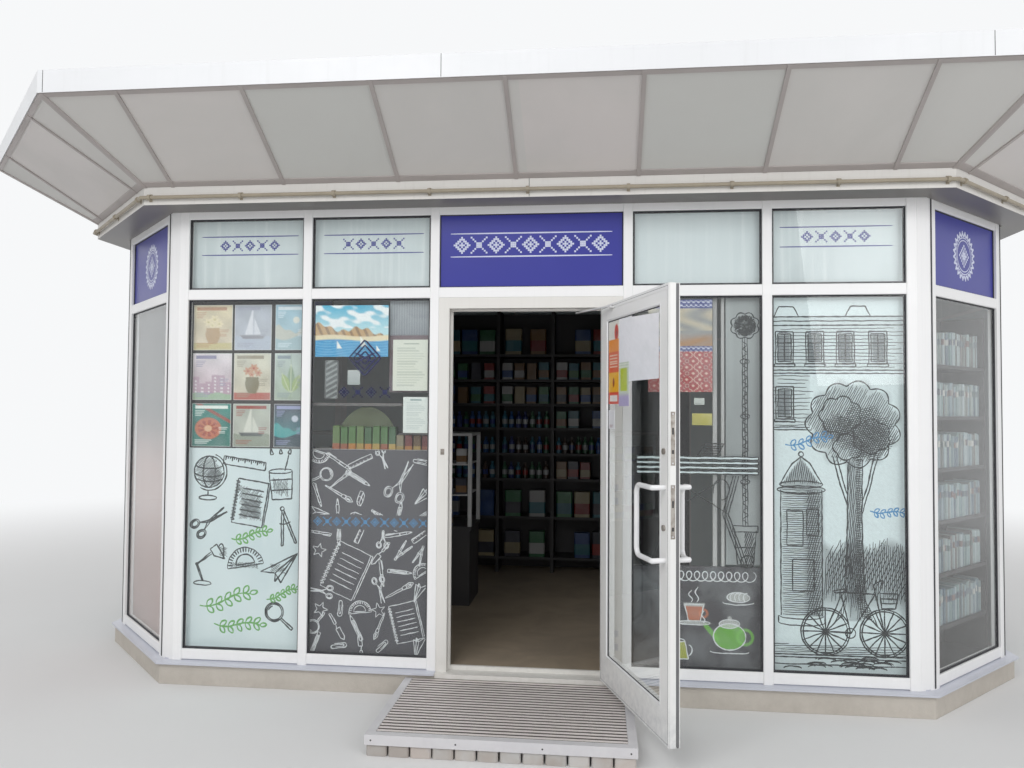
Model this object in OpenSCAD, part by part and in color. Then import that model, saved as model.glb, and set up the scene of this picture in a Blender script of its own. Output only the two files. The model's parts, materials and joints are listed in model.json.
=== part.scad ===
// Eight-sided street kiosk of aluminium and glass, with an outward-leaning canopy all round,
// an open glazed door, a slatted step before it, and its shop fittings inside.
// The origin is the middle of the plan at ground level. X runs along the front to the right as
// a visitor sees it, Y runs from the front to the back, and Z is up.
// The eight walls are numbered anticlockwise from the front: even ones are straight, odd ones
// are the bevelled corners. A wall is drawn lying along X, with its outer face at Y = 0 and
// the room towards +Y, and is then turned into its place.

/* [Plan] */
// Length of the front and back walls, between corner edges
front_w = 4500; // [4300:10:4800]
// Length of the two side walls, between corner edges
side_w = 1755; // [1500:5:2400]
// Length of each bevelled corner wall
corner_w = 1100; // [900:10:1300]
// Clear width of the door bay, between its mullions
door_bay_w = 1100; // [1000:10:1200]

/* [Heights] */
// Top of the concrete plinth
plinth_top = 124; // [80:1:200]
// Top of the sill at the wall face
sill_top = 144; // [100:1:230]
// Underside of the transom, which is the top of the display glass
transom_z = 2360; // [2200:5:2500]
// Underside of the head rail, which is the top of the top-lights
head_z = 2865; // [2700:5:3000]
// Underside of the eave
eave_z = 2909; // [2880:1:3060]
// Top of the eave band, where the canopy starts
eave_top = 3021; // [2990:1:3200]
// Underside of the fascia, where the canopy ends
fascia_z = 3369; // [3250:1:3600]
// Height of the fascia
fascia_h = 118; // [80:1:180]

/* [Projections] */
// How far the plinth stands out from the walls
plinth_out = 30; // [15:1:60]
// How far the sill nose stands out from the walls
sill_out = 53; // [35:1:80]
// How far the eave band stands out from the walls
eave_out = 192; // [150:1:260]
// How far the fascia stands out from the walls
canopy_out = 793; // [600:1:900]

/* [Profiles] */
// Face width of a mullion, stile or post facet
bar_w = 55; // [45:1:70]
// Face width of the head rail, bottom rail and transom
rail_w = 62; // [50:1:75]
// Depth of the wall profiles
bar_d = 60; // [50:1:80]
// Thickness of the glazing
glass_t = 6; // [4:1:10]
// How far the glazing enters the bars
glass_in = 10; // [6:1:14]
// How far the glazing sits behind the wall face
glass_y = 22; // [15:1:35]
// How far the faces of the rails lie behind those of the uprights
rail_in = 4; // [0:1:8]

/* [Door] */
// Face width of the door frame
jamb_w = 65; // [50:1:80]
// Width of the door leaf
leaf_w = 960; // [900:10:1000]
// Thickness of the door leaf
leaf_t = 55; // [45:1:60]
// How far the leaf's glass sits behind its outer face
leaf_glass_y = 40; // [15:1:42]
// Underside of the door leaf
leaf_z = 140; // [138:1:160]
// Top of the door leaf
leaf_top = 2290; // [2250:5:2290]
// Angle at which the leaf stands open
leaf_open = 109; // [90:1:115]

/* [Canopy] */
// Number of ribs under each long side of the canopy
long_ribs = 7; // [5:1:9]
// Distance between the ribs of a long side
rib_pitch = 693; // [500:1:720]
// How far the row of ribs sits to the left of the middle
rib_shift = 66; // [0:1:80]
// Width of a rib
rib_w = 22; // [16:1:40]

/* [Step] */
// Width of the step platform
step_w = 1320; // [1100:10:1500]
// Depth of the step platform
step_d = 835; // [600:5:1000]
// Top of the step platform
step_top = 105; // [90:1:115]
// Number of slats in the platform
slat_count = 21; // [15:1:26]

/* [Hidden] */

straight = [0, 2, 4, 6];
bevelled = [1, 3, 5, 7];
half_turn = tan(22.5);
leg = corner_w * cos(45);
half_d = side_w / 2 + leg;
half_w = front_w / 2 + leg;
bevel_dist = (front_w / 2 + half_d) * cos(45);
bevel_shift = (front_w - side_w) / 2 * cos(45);
joint_gap = 0.3;

// The front wall is laid out from its middle: door bay, then two display bays each side
bay_w = (front_w - door_bay_w - 4 * bar_w - 4 * bar_w) / 4;
door_x = door_bay_w / 2;
mull_1 = door_x + bar_w;
mull_2 = mull_1 + bay_w;
stile_x = front_w / 2 - 2 * bar_w;
side_bay = (side_w - 5 * bar_w) / 2;
rail_z = sill_top + rail_w;
transom_top = transom_z + rail_w + 2;
wall_top = head_z + rail_w - 2;
// Depth of the door frame with its stop
frame_d = 78;
// Bevel along the outer edges of the bars and posts
soft = 3;
// A groove runs along the sill under the rails, and the feet of the uprights close it
groove_d = 14;
groove_h = 6;
foot_d = groove_d - 1;
foot_z = sill_top - groove_h + joint_gap;

white = [0.87, 0.87, 0.90];
cream = [0.86, 0.84, 0.80];
grey_panel = [0.62, 0.62, 0.60];
rib_grey = [0.50, 0.51, 0.47];
khaki = [0.62, 0.58, 0.48];
sign_blue = [0.20, 0.20, 0.55];
glass_tint = [0.75, 0.85, 0.85, 0.4];
dark = [0.14, 0.14, 0.15];

function odd(i) = i % 2;
function wall_len(i) = odd(i) ? corner_w : (i % 4 == 0 ? front_w : side_w);
function wall_dist(i) = odd(i) ? bevel_dist : (i % 4 == 0 ? half_d : half_w);
function wall_shift(i) = odd(i) ? (i % 4 == 1 ? bevel_shift : -bevel_shift) : 0;
// Half the length of wall i once it has moved outwards by off
function reach(i, off) = wall_len(i) / 2 + off * half_turn;

// Turns what is drawn as a wall into the place of wall i
module at_wall(i) {
    rotate([0, 0, 45 * i])
        translate([wall_shift(i), -wall_dist(i), 0])
            children();
}

// The plan of the kiosk, moved outwards by off
module plan(off) {
    a = front_w / 2 + off * half_turn;
    b = side_w / 2 + off * half_turn;
    x = half_w + off;
    y = half_d + off;
    polygon([[-a, -y], [a, -y], [x, -b], [x, b], [a, y], [-a, y], [-x, b], [-x, -b]]);
}

// A bar along wall i, cut at both ends along the mitre planes of its corners. The section is a
// list of [distance out, height].
module mitred(i, section) {
    spare = 20;
    near = min([for (p = section) p[0]]) - spare;
    far = max([for (p = section) p[0]]) + spare;
    low = min([for (p = section) p[1]]) - spare;
    high = max([for (p = section) p[1]]) + spare;
    intersection() {
        translate([-reach(i, far), 0, 0])
            rotate([90, 0, 90])
                linear_extrude(2 * reach(i, far))
                    polygon([for (p = section) [-p[0], p[1]]]);
        translate([0, 0, low])
            linear_extrude(high - low)
                polygon([[-reach(i, near), -near], [-reach(i, far), -far],
                    [reach(i, far), -far], [reach(i, near), -near]]);
    }
}

// Section of a wall bar, with its outer face on Y = face and softened outer edges. A slot for
// the glazing runs along the left and right where slots says so.
module bar_section(w, slots, face = 0) {
    difference() {
        polygon([[0, face + soft], [soft, face], [w - soft, face], [w, face + soft], [w, bar_d],
            [0, bar_d]]);
        if (slots[0])
            translate([-1, glass_y])
                square([glass_in + 3, glass_t]);
        if (slots[1])
            translate([w - glass_in - 2, glass_y])
                square([glass_in + 3, glass_t]);
    }
}

// Upright from the sill to the wall top, with its left edge at x. Its foot goes down into the
// sill's groove.
module upright(x, slots = [true, true], w = bar_w) {
    translate([x, 0, sill_top])
        linear_extrude(wall_top - sill_top)
            bar_section(w, slots);
    translate([x, 0, foot_z])
        linear_extrude(sill_top + 1 - foot_z)
            polygon([[0, soft], [soft, 0], [w - soft, 0], [w, soft], [w, foot_d], [0, foot_d]]);
}

// Rail between x0 and x1, standing on z
module rail(x0, x1, z, w = rail_w, slots = [true, true]) {
    translate([x0 + joint_gap, 0, z])
        rotate([90, 0, 90])
            linear_extrude(x1 - x0 - 2 * joint_gap)
                mirror([1, -1])
                    bar_section(w, slots, rail_in);
}

// The three rails that close a bay between x0 and x1
module bay_rails(x0, x1) {
    rail(x0, x1, sill_top, rail_w, [false, true]);
    rail(x0, x1, transom_z, rail_w + 2);
    rail(x0, x1, head_z, rail_w - 2, [true, false]);
}

// One sheet of glazing between two uprights and two rails
module pane(x0, x1, z0, z1) {
    translate([x0 - glass_in, glass_y, z0 - glass_in])
        cube([x1 - x0 + 2 * glass_in, glass_t, z1 - z0 + 2 * glass_in]);
}

// The display glass and the top-light of one bay
module bay_panes(x0, x1) {
    pane(x0, x1, rail_z, transom_z);
    pane(x0, x1, transom_top, head_z);
}

// Left or right half of the front wall, for side -1 or 1
module front_half(side) {
    at_wall(0)
        mirror([side < 0 ? 1 : 0, 0, 0]) {
            upright(door_x, [true, true]);
            upright(mull_2);
            upright(stile_x, [true, false]);
            bay_rails(mull_1, mull_2);
            bay_rails(mull_2 + bar_w, stile_x);
        }
}

// Frame of a straight wall that has a row of equal bays between stiles
module bay_wall(i, count, bay) {
    start = -wall_len(i) / 2 + bar_w;
    at_wall(i) {
        for (k = [0:count])
            upright(start + k * (bay + bar_w), [k > 0, k < count]);
        for (k = [0:count - 1])
            bay_rails(start + bar_w + k * (bay + bar_w), start + (k + 1) * (bay + bar_w));
    }
}

// Glazing of the same wall
module bay_wall_panes(i, count, bay) {
    start = -wall_len(i) / 2 + bar_w;
    at_wall(i)
        for (k = [0:count - 1])
            bay_panes(start + bar_w + k * (bay + bar_w), start + (k + 1) * (bay + bar_w));
}

back_bays = 5;
back_bay = (front_w - 2 * bar_w - (back_bays + 1) * bar_w) / back_bays;
corner_x = corner_w / 2 - 2 * bar_w;

// Base and floor

// A concrete slab under the whole kiosk
module plinth() {
    color([0.55, 0.55, 0.53])
        linear_extrude(plinth_top)
            plan(plinth_out);
}

floor_top = 150;
mat_t = 5;
mat_top = floor_top + mat_t;
deck_in = frame_d + 2;

module floor_deck() {
    color([0.45, 0.42, 0.38])
        translate([0, 0, plinth_top])
            linear_extrude(floor_top - plinth_top)
                plan(-deck_in);
}

module floor_mat() {
    color([0.33, 0.29, 0.25])
        translate([0, 0, floor_top])
            linear_extrude(mat_t)
                plan(-deck_in - 2);
}

sill_lip = 10;
sill_section = [[-bar_d, plinth_top], [sill_out, plinth_top], [sill_out, plinth_top + sill_lip],
    [0, sill_top - groove_h], [-groove_d, sill_top - groove_h], [-groove_d, sill_top],
    [-bar_d, sill_top]];

// The front sill stops at the door bay, so the two long ones there are cut from a whole one
module sill_long() {
    color(white) {
        for (i = [2, 4, 6])
            at_wall(i)
                mitred(i, sill_section);
        difference() {
            at_wall(0)
                mitred(0, sill_section);
            at_wall(0)
                translate([-door_x, -sill_out - 1, 0])
                    cube([door_bay_w, sill_out + bar_d + 2, sill_top + 1]);
        }
    }
}

module sill_corners() {
    color(white)
        for (i = bevelled)
            at_wall(i)
                mitred(i, sill_section);
}

// Walls

// A post fills the corner between two walls. Its face is one facet whose two edges are bevelled
// towards the bars beside it. Only its front goes down past the sill's top, into the groove.
module corner_post(i) {
    along = [cos(45), sin(45)];
    inwards = [-sin(45), cos(45)];
    near = [-bar_w, 0];
    far = along * bar_w;
    bevel = [cos(22.5), sin(22.5)] * soft;
    back = far + inwards * (bar_d + 1) + along;
    at_wall(i)
        translate([wall_len(i) / 2, 0, foot_z])
            difference() {
                linear_extrude(wall_top - foot_z)
                    polygon([near + bevel, far - bevel, far + inwards * soft,
                        far + inwards * bar_d, [-bar_d * half_turn, bar_d], [-bar_w, bar_d],
                        [-bar_w, soft]]);
                translate([0, 0, -1])
                    linear_extrude(sill_top - foot_z + 1)
                        polygon([[-bar_w - 1, foot_d], [-foot_d * half_turn, foot_d],
                            far + inwards * foot_d + along, back, [-bar_w - 1, back[1]]]);
            }
}

module corner_posts() {
    color(white)
        for (i = [0:7])
            corner_post(i);
}

module front_frame_left() {
    color(white)
        front_half(-1);
}

module front_frame_right() {
    color(white)
        front_half(1);
}

module over_door_frame() {
    color(white)
        at_wall(0) {
            rail(-door_x, door_x, transom_z, rail_w + 2, [false, true]);
            rail(-door_x, door_x, head_z, rail_w - 2, [true, false]);
        }
}

module back_frame() {
    color(white)
        bay_wall(4, back_bays, back_bay);
}

module side_frames() {
    color(white)
        for (i = [2, 6])
            bay_wall(i, 2, side_bay);
}

module corner_frames() {
    color(white)
        for (i = bevelled)
            at_wall(i) {
                upright(-corner_x - bar_w, [false, true]);
                upright(corner_x, [true, false]);
                bay_rails(-corner_x, corner_x);
            }
}

module front_glass() {
    color(glass_tint)
        for (s = [0, 1])
            at_wall(0)
                mirror([s, 0, 0]) {
                    bay_panes(mull_1, mull_2);
                    bay_panes(mull_2 + bar_w, stile_x);
                }
}

module back_glass() {
    color(glass_tint)
        bay_wall_panes(4, back_bays, back_bay);
}

module side_glass() {
    color(glass_tint)
        for (i = [2, 6])
            bay_wall_panes(i, 2, side_bay);
}

module corner_glass() {
    color(glass_tint)
        for (i = bevelled)
            at_wall(i)
                pane(-corner_x, corner_x, rail_z, transom_z);
}

module sign_panels() {
    color(sign_blue) {
        for (i = bevelled)
            at_wall(i)
                pane(-corner_x, corner_x, transom_top, head_z);
        at_wall(0)
            pane(-door_x, door_x, transom_top, head_z);
    }
}

// Door frame

stop_w = 12;
stop_y = 60;
leaf_gap = 5;
sill_flat = 133;
stop_top = 156;
nose_t = 5;
jamb_x = door_x - jamb_w;
head_low = leaf_top + leaf_gap;
head_stop_low = head_low - stop_w + 0.5;

// Track for the stay, on the inner side of the head
track_x = -140;
track_len = 460;
track_d = 22;
track_h = 12;
track_gap = 5.5;

module jamb() {
    translate([0, 0, sill_flat])
        linear_extrude(transom_z - sill_flat - joint_gap)
            polygon([[jamb_x, 0], [door_x - joint_gap, 0], [door_x - joint_gap, frame_d],
                [jamb_x - stop_w, frame_d], [jamb_x - stop_w, stop_y], [jamb_x, stop_y]]);
}

// Head between the jambs, with the stop that the leaf closes against
module door_head() {
    half = jamb_x - joint_gap;
    top = transom_z - joint_gap;
    translate([-half, 0, 0])
        rotate([90, 0, 90])
            linear_extrude(2 * half)
                polygon([[0, head_low], [stop_y, head_low], [stop_y, head_stop_low],
                    [frame_d, head_stop_low], [frame_d, top], [0, top]]);
}

// Threshold folded down over the plinth's edge, cut out round the jambs' stops
module threshold() {
    half = door_x - joint_gap;
    flat = sill_flat - joint_gap;
    notch_x = jamb_x - stop_w - joint_gap;
    difference() {
        translate([-half, 0, 0])
            rotate([90, 0, 90])
                linear_extrude(2 * half)
                    polygon([[-plinth_out - nose_t, step_top + 1], [-plinth_out, step_top + 1],
                        [-plinth_out, plinth_top], [frame_d, plinth_top], [frame_d, stop_top],
                        [stop_y, stop_top], [stop_y, flat], [-plinth_out - nose_t, flat]]);
        for (s = [0, 1])
            mirror([s, 0, 0])
                translate([notch_x, stop_y - 1, flat])
                    cube([half - notch_x + 1, frame_d - stop_y + 2, stop_top - flat + 1]);
    }
}

module door_frame() {
    color(cream)
        at_wall(0) {
            jamb();
            mirror([1, 0, 0])
                jamb();
            door_head();
            translate([track_x, frame_d - 0.01, arm_z + arm_t + track_gap])
                cube([track_len, track_d, track_h]);
            threshold();
        }
}

// Eave and canopy

ceiling_t = 20;

module ceiling() {
    color([0.80, 0.80, 0.78])
        translate([0, 0, wall_top + joint_gap])
            linear_extrude(ceiling_t)
                plan(0);
}

// One folded sheet makes the soffit and the upright band of the eave
sheet = 6;
eave_section = [[0, eave_z], [eave_out, eave_z], [eave_out, eave_top],
    [eave_out - sheet, eave_top], [eave_out - sheet, eave_z + sheet], [0, eave_z + sheet]];

module eave_long() {
    color(cream)
        for (i = straight)
            at_wall(i)
                mitred(i, eave_section);
}

module eave_corners() {
    color(cream)
        for (i = bevelled)
            at_wall(i)
                mitred(i, eave_section);
}

// A round tube is clipped along the band. A clip is a ring on a plate that lies on the band.
tube_r = 11;
tube_gap = 9;
tube_drop = 15;
tube_off = eave_out + tube_r + tube_gap;
tube_z = (eave_z + eave_top) / 2 - tube_drop;
clip_pitch = 571;
clip_w = 18;
clip_rim = 6;
clip_plate_h = 46;
clip_plate_t = 3;

module tube_run(i) {
    turns = 10;
    section = [for (k = [0:turns - 1])
        [tube_off + tube_r * cos(360 * k / turns), tube_z + tube_r * sin(360 * k / turns)]];
    mitred(i, section);
}

module clip(x) {
    translate([x - clip_w / 2, -tube_off, tube_z])
        rotate([90, 0, 90])
            linear_extrude(clip_w)
                difference() {
                    union() {
                        circle(r = tube_r + clip_rim, $fn = 24);
                        translate([0, -tube_r])
                            square([tube_off - eave_out, 2 * tube_r]);
                        translate([tube_off - eave_out - clip_plate_t, -clip_plate_h / 2])
                            square([clip_plate_t, clip_plate_h]);
                    }
                    circle(r = tube_r - 2, $fn = 24);
                }
}

module eave_tube() {
    color(khaki)
        for (i = [0:7]) {
            count = round(wall_len(i) / clip_pitch);
            at_wall(i) {
                tube_run(i);
                for (k = [0:count])
                    clip((k - count / 2) * clip_pitch);
            }
        }
}

slope = (fascia_z - eave_top) / (canopy_out - eave_out);
panel_t = 18;
fascia_t = 30;
rib_drop = 10;
function under(off) = eave_top + (off - eave_out) * slope;

panel_section = [[eave_out, eave_top], [canopy_out, fascia_z], [canopy_out, fascia_z + panel_t],
    [eave_out, eave_top + panel_t]];

module canopy_panel(i) {
    at_wall(i)
        mitred(i, panel_section);
}

module canopy_long() {
    color(grey_panel)
        for (i = straight)
            canopy_panel(i);
}

module canopy_corners() {
    color(grey_panel)
        for (i = bevelled)
            canopy_panel(i);
}

// Ribs, hips and edge strips are drawn in plan and cut from a layer under the slope. A wall's
// strips stop short of the mitre by half a joint.
rib_start = eave_out + 2;
rib_end = canopy_out - 2;
corner_rib = 470;
side_rib_pitch = 560;
hip_w = 22;
eave_strip_w = 34;
fascia_strip_w = 22;
strip_drop = 6;
seat_gap = 0.1;

function rib_places(i) = odd(i) ? [-corner_rib, corner_rib]
    : i % 4 == 0 ? [for (k = [0:long_ribs - 1]) (k - (long_ribs - 1) / 2) * rib_pitch - rib_shift]
    : [for (k = [-1:1]) k * side_rib_pitch];

function plan_edge(i, s, off, inset) = [s * (reach(i, off) - inset), -off];

module under_slope(i, drop) {
    low = under(rib_start) - seat_gap;
    high = under(rib_end) - seat_gap;
    intersection() {
        mitred(i, [[rib_start, low], [rib_start, low - drop], [rib_end, high - drop],
            [rib_end, high]]);
        linear_extrude(fascia_z + fascia_h)
            children();
    }
}

module hip_plan(i, s) {
    polygon([plan_edge(i, s, eave_out, joint_gap / 2), plan_edge(i, s, canopy_out, joint_gap / 2),
        plan_edge(i, s, canopy_out, hip_w), plan_edge(i, s, eave_out, hip_w)]);
}

module strip_plan(i, a, b) {
    polygon([plan_edge(i, -1, a, joint_gap / 2), plan_edge(i, -1, b, joint_gap / 2),
        plan_edge(i, 1, b, joint_gap / 2), plan_edge(i, 1, a, joint_gap / 2)]);
}

module canopy_ribs() {
    color(rib_grey)
        for (i = [0:7])
            at_wall(i) {
                under_slope(i, rib_drop) {
                    for (x = rib_places(i))
                        translate([x - rib_w / 2, -canopy_out])
                            square([rib_w, canopy_out - eave_out]);
                    for (s = [-1, 1])
                        hip_plan(i, s);
                }
                under_slope(i, strip_drop) {
                    strip_plan(i, rib_start, rib_start + eave_strip_w);
                    strip_plan(i, rib_end - fascia_strip_w, rib_end);
                }
            }
}

fascia_top = fascia_z + fascia_h;
fascia_section = [[canopy_out, fascia_z], [canopy_out + sheet, fascia_z - sheet],
    [canopy_out + sheet, fascia_top], [canopy_out - fascia_t, fascia_top],
    [canopy_out - fascia_t, fascia_z + panel_t], [canopy_out, fascia_z + panel_t]];

module fascia_long() {
    color(white)
        for (i = straight)
            at_wall(i)
                mitred(i, fascia_section);
}

module fascia_corners() {
    color(white)
        for (i = bevelled)
            at_wall(i)
                mitred(i, fascia_section);
}

// The roof lies behind the fascia, below its top
roof_drop = 50;
roof_t = 20;

module roof_deck() {
    color([0.40, 0.40, 0.41])
        translate([0, 0, fascia_top - roof_drop])
            linear_extrude(roof_t)
                plan(canopy_out - fascia_t);
}

// Step before the door

step_x = -722;
step_gap = 5.5;
step_y = -plinth_out - step_gap;
angle_t = 4;
angle_w = 45;
angle_h = 50;
block_top = step_top - angle_h;

step_section = [[0, -angle_h], [angle_t, -angle_h], [angle_t, -angle_t], [angle_w, -angle_t],
    [angle_w, 0], [0, 0]];

// Three angles on three sides, mitred where they meet at the front corners
module step_frame() {
    color([0.66, 0.67, 0.72])
        at_wall(0)
            translate([step_x, step_y - step_d, step_top]) {
                intersection() {
                    rotate([90, 0, 90])
                        linear_extrude(step_w)
                            polygon(step_section);
                    step_mitre(joint_gap / 2);
                }
                for (s = [0, 1])
                    translate([s * step_w, 0, 0])
                        mirror([s, 0, 0])
                            difference() {
                                translate([0, step_d, 0])
                                    rotate([90, 0, 0])
                                        linear_extrude(step_d)
                                            polygon(step_section);
                                translate([-0.01, 0, 0])
                                    step_mitre(-joint_gap / 2);
                            }
            }
}

// What lies on the front angle's side of the two mitres, drawn back by gap
module step_mitre(gap) {
    translate([0, 0, -angle_h - 1])
        linear_extrude(angle_h + 2)
            polygon([[gap - 1, -1], [step_w - gap + 1, -1], [step_w - angle_w - gap, angle_w],
                [angle_w + gap, angle_w]]);
}

// Slats along the front lie on bearers
slat_h = 13;
slat_share = 0.6;
bearer_w = 40;
bearers = 5;

module step_grate() {
    slat_pitch = (step_d - angle_w) / slat_count;
    inner_w = step_w - 2 * angle_w;
    color([0.50, 0.46, 0.45])
        at_wall(0)
            translate([step_x + angle_w, step_y - step_d + angle_w, step_top]) {
                for (k = [0:slat_count - 1])
                    translate([1, (k + 0.2) * slat_pitch, -slat_h - 1])
                        cube([inner_w - 2, slat_share * slat_pitch, slat_h]);
                for (k = [0:bearers - 1])
                    translate([k * (inner_w - bearer_w) / (bearers - 1), 1, -angle_h])
                        cube([bearer_w, step_d - angle_w - 2, angle_h - slat_h - 1]);
            }
}

// The step stands on blocks set a little way in from its frame
block_in = 4;

module step_blocks() {
    color([0.62, 0.58, 0.52])
        at_wall(0)
            translate([step_x + block_in, step_y - step_d + block_in, 0])
                cube([step_w - 2 * block_in, step_d - block_in - 0.5, block_top]);
}

// Shop fittings

counter_x = -580;
counter_len = 1650;
counter_y = 1500;
counter_d = 480;
counter_top = 770;
worktop_t = 30;
overhang = 6;

module counter_base() {
    body_h = counter_top - mat_top - worktop_t;
    color(dark)
        at_wall(0)
            translate([counter_x - counter_len, counter_y, mat_top]) {
                cube([counter_len - 2 * overhang, counter_d - 2 * overhang, body_h]);
                translate([0, -overhang, body_h])
                    cube([counter_len, counter_d, worktop_t]);
            }
}

// A glass case on the counter: a top and two shelves a bay on six posts
case_top = 1500;
case_top_t = 20;
case_post = 30;
case_bays = 2;
case_shelves = [240, 480];
case_shelf_t = 10;

module counter_case() {
    span = (counter_len - (case_bays + 1) * case_post) / case_bays;
    depth = counter_d - 2 * overhang;
    post_h = case_top - counter_top - case_top_t;
    color([0.75, 0.76, 0.77])
        at_wall(0)
            translate([counter_x - counter_len, counter_y, counter_top]) {
                for (k = [0:case_bays])
                    for (y = [0, depth - case_post])
                        translate([k * (span + case_post), y, 0])
                            cube([case_post, case_post, post_h - joint_gap]);
                translate([0, 0, post_h])
                    cube([counter_len, depth, case_top_t]);
                for (k = [0:case_bays - 1])
                    for (z = case_shelves)
                        translate([k * (span + case_post) + case_post + joint_gap, 2, z])
                            cube([span - 2 * joint_gap, depth - 4, case_shelf_t]);
            }
}

// Shelving along the back of the room: a back board, uprights and rows of shelves
shelf_y = 2840;
shelf_d = 320;
shelf_t = 24;
shelf_back_t = 18;
shelf_top = 2480;
upright_w = 30;
uprights = [-1130, -560, -40, 700];
shelf_levels = [120, 500, 860, 1100, 1340, 1570, 1800, 2040];

module back_shelving() {
    color(dark)
        at_wall(0)
            translate([0, shelf_y, mat_top]) {
                translate([uprights[0], shelf_d, 0])
                    cube([uprights[3] - uprights[0] + upright_w, shelf_back_t, shelf_top]);
                for (x = uprights)
                    translate([x, 0, 0])
                        cube([upright_w, shelf_d - joint_gap, shelf_top]);
                for (b = [0:2])
                    for (z = shelf_levels)
                        translate([uprights[b] + upright_w + joint_gap, 10, z])
                            cube([uprights[b + 1] - uprights[b] - upright_w - 2 * joint_gap,
                                shelf_d - 10 - joint_gap, shelf_t]);
            }
}

// A bookcase stands behind the glass of the right-hand front corner
case_w = 860;
case_d = 270;
case_y = 80;
case_h = 2150;
side_t = 20;
board_t = 22;
backing_t = 12;
book_levels = [0, 250, 560, 870, 1180, 1490, 1800];
book_h = 215;
book_d = 170;

module bookcase() {
    inside_w = case_w - 2 * side_t - 2 * joint_gap;
    color([0.35, 0.34, 0.33])
        at_wall(1)
            translate([0, case_y, mat_top]) {
                for (s = [-1, 1])
                    translate([s * (case_w - side_t) / 2 - side_t / 2, 0, 0])
                        cube([side_t, case_d, case_h]);
                translate([-inside_w / 2, case_d - backing_t, 0])
                    cube([inside_w, backing_t, case_h]);
                for (z = book_levels)
                    translate([-inside_w / 2, 0, z])
                        cube([inside_w, case_d - backing_t - joint_gap, board_t]);
            }
}

module book_rows() {
    row_w = case_w - 2 * side_t - 20;
    color([0.75, 0.78, 0.76])
        at_wall(1)
            for (k = [1:len(book_levels) - 1])
                translate([-row_w / 2, case_y + 12, mat_top + book_levels[k] + board_t])
                    cube([row_w, book_d, book_h]);
}

// A board for magazines stands against the inside of the left-hand window
magazine_z = 1440;
magazine_t = 12;

module magazine_board() {
    color(dark)
        at_wall(0)
            translate([-stile_x - 10, bar_d + 2, magazine_z])
                cube([bay_w + 20, magazine_t, transom_z - magazine_z + 20]);
}

// Door leaf, drawn shut in the front wall and then swung open about its hinge line

pin_x = jamb_x - leaf_gap / 2;
pin_y = -12;
hinge_z = [360, 1200, 2060];
stile_w = 100;
top_rail = 85;
foot_rail = 160;
flap_in = 5;
flap_w = 40;
knuckle_r = 11;
knuckle_h = 38;

module swung() {
    at_wall(0)
        translate([pin_x, pin_y, 0])
            rotate([0, 0, leaf_open])
                translate([-pin_x, -pin_y, 0])
                    children();
}

// The stay holds the leaf open: its arm is pinned to the leaf and its shoe runs under a track
stay_pin_x = 280;
stay_pin_y = leaf_t + 12;
stay_len = 370;
track_y = 86;
arm_z = 2270;
arm_t = 8;
arm_w = 16;
bracket_w = 36;
bracket_t = 7;

leaf_right = jamb_x - leaf_gap;
leaf_left = leaf_right - leaf_w;

// A lock has a plate let into the leaf's edge and a cylinder that shows on both faces. Each
// entry is the height of the plate's middle, then of its cylinder.
locks = [[1560, 1498], [1220, 1140]];
plate_h = 250;
plate_w = 22;
plate_t = 2;
plate_y = 24;
cylinder_r = 14;
cylinder_h = 9;
cylinder_x = leaf_left + 54;

// The closing edge has a channel for a seal behind its outer lip, and a rebate at its inner
// corner. A line is scored round the head and the stiles on both faces.
channel_y = [4, 20];
channel_d = 8;
rebate = 6;
score_in = 28;
score_w = 3;
score_d = 2;

module leaf_pane() {
    translate([leaf_left + stile_w - glass_in, leaf_glass_y, leaf_z + foot_rail - glass_in])
        cube([leaf_w - 2 * stile_w + 2 * glass_in, glass_t,
            leaf_top - top_rail - leaf_z - foot_rail + 2 * glass_in]);
}

module leaf_edge_cuts() {
    translate([leaf_left - 1, channel_y[0], leaf_z - 1])
        cube([channel_d + 1, channel_y[1] - channel_y[0], leaf_top - leaf_z + 2]);
    translate([leaf_left - 1, leaf_t - rebate, leaf_z - 1])
        cube([rebate + 1, rebate + 1, leaf_top - leaf_z + 2]);
}

// Both faces are scored: two upright lines and one level line that joins them at the head
module leaf_scores() {
    for (y = [-1, leaf_t - score_d]) {
        for (x = [leaf_left + score_in, leaf_right - score_in - score_w])
            translate([x, y, leaf_z - 1])
                cube([score_w, score_d + 1, leaf_top - leaf_z - score_in + 1]);
        translate([leaf_left + score_in, y, leaf_top - score_in - score_w])
            cube([leaf_w - 2 * score_in, score_d + 1, score_w]);
    }
}

// Two stiles with two rails between them, grooved for the glass, and the stay's bracket
module leaf_frame() {
    color([0.75, 0.75, 0.77])
        swung()
            difference() {
                union() {
                    for (x = [leaf_left, leaf_right - stile_w])
                        translate([x, 0, leaf_z])
                            cube([stile_w, leaf_t, leaf_top - leaf_z]);
                    for (z = [[leaf_z, foot_rail], [leaf_top - top_rail, top_rail]])
                        translate([leaf_left + stile_w + joint_gap, 0, z[0]])
                            cube([leaf_w - 2 * stile_w - 2 * joint_gap, leaf_t, z[1]]);
                    translate([stay_pin_x - bracket_w / 2, leaf_t - 1, arm_z - bracket_t])
                        cube([bracket_w, stay_pin_y - leaf_t + 10, bracket_t - joint_gap]);
                }
                leaf_pane();
                leaf_edge_cuts();
                leaf_scores();
                for (lock = locks)
                    translate([leaf_left - 1, plate_y - joint_gap,
                        lock[0] - plate_h / 2 - joint_gap])
                        cube([plate_t + 1 + joint_gap, plate_w + 2 * joint_gap,
                            plate_h + 2 * joint_gap]);
            }
}

module leaf_glass() {
    color(glass_tint)
        swung()
            leaf_pane();
}

handle_r = 12.5;
handle_z = 1160;
handle_h = 340;
handle_stand = 66;
handle_reaches = [76, 190];
bend_r = 40;
handle_x = leaf_left + 44;

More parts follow.
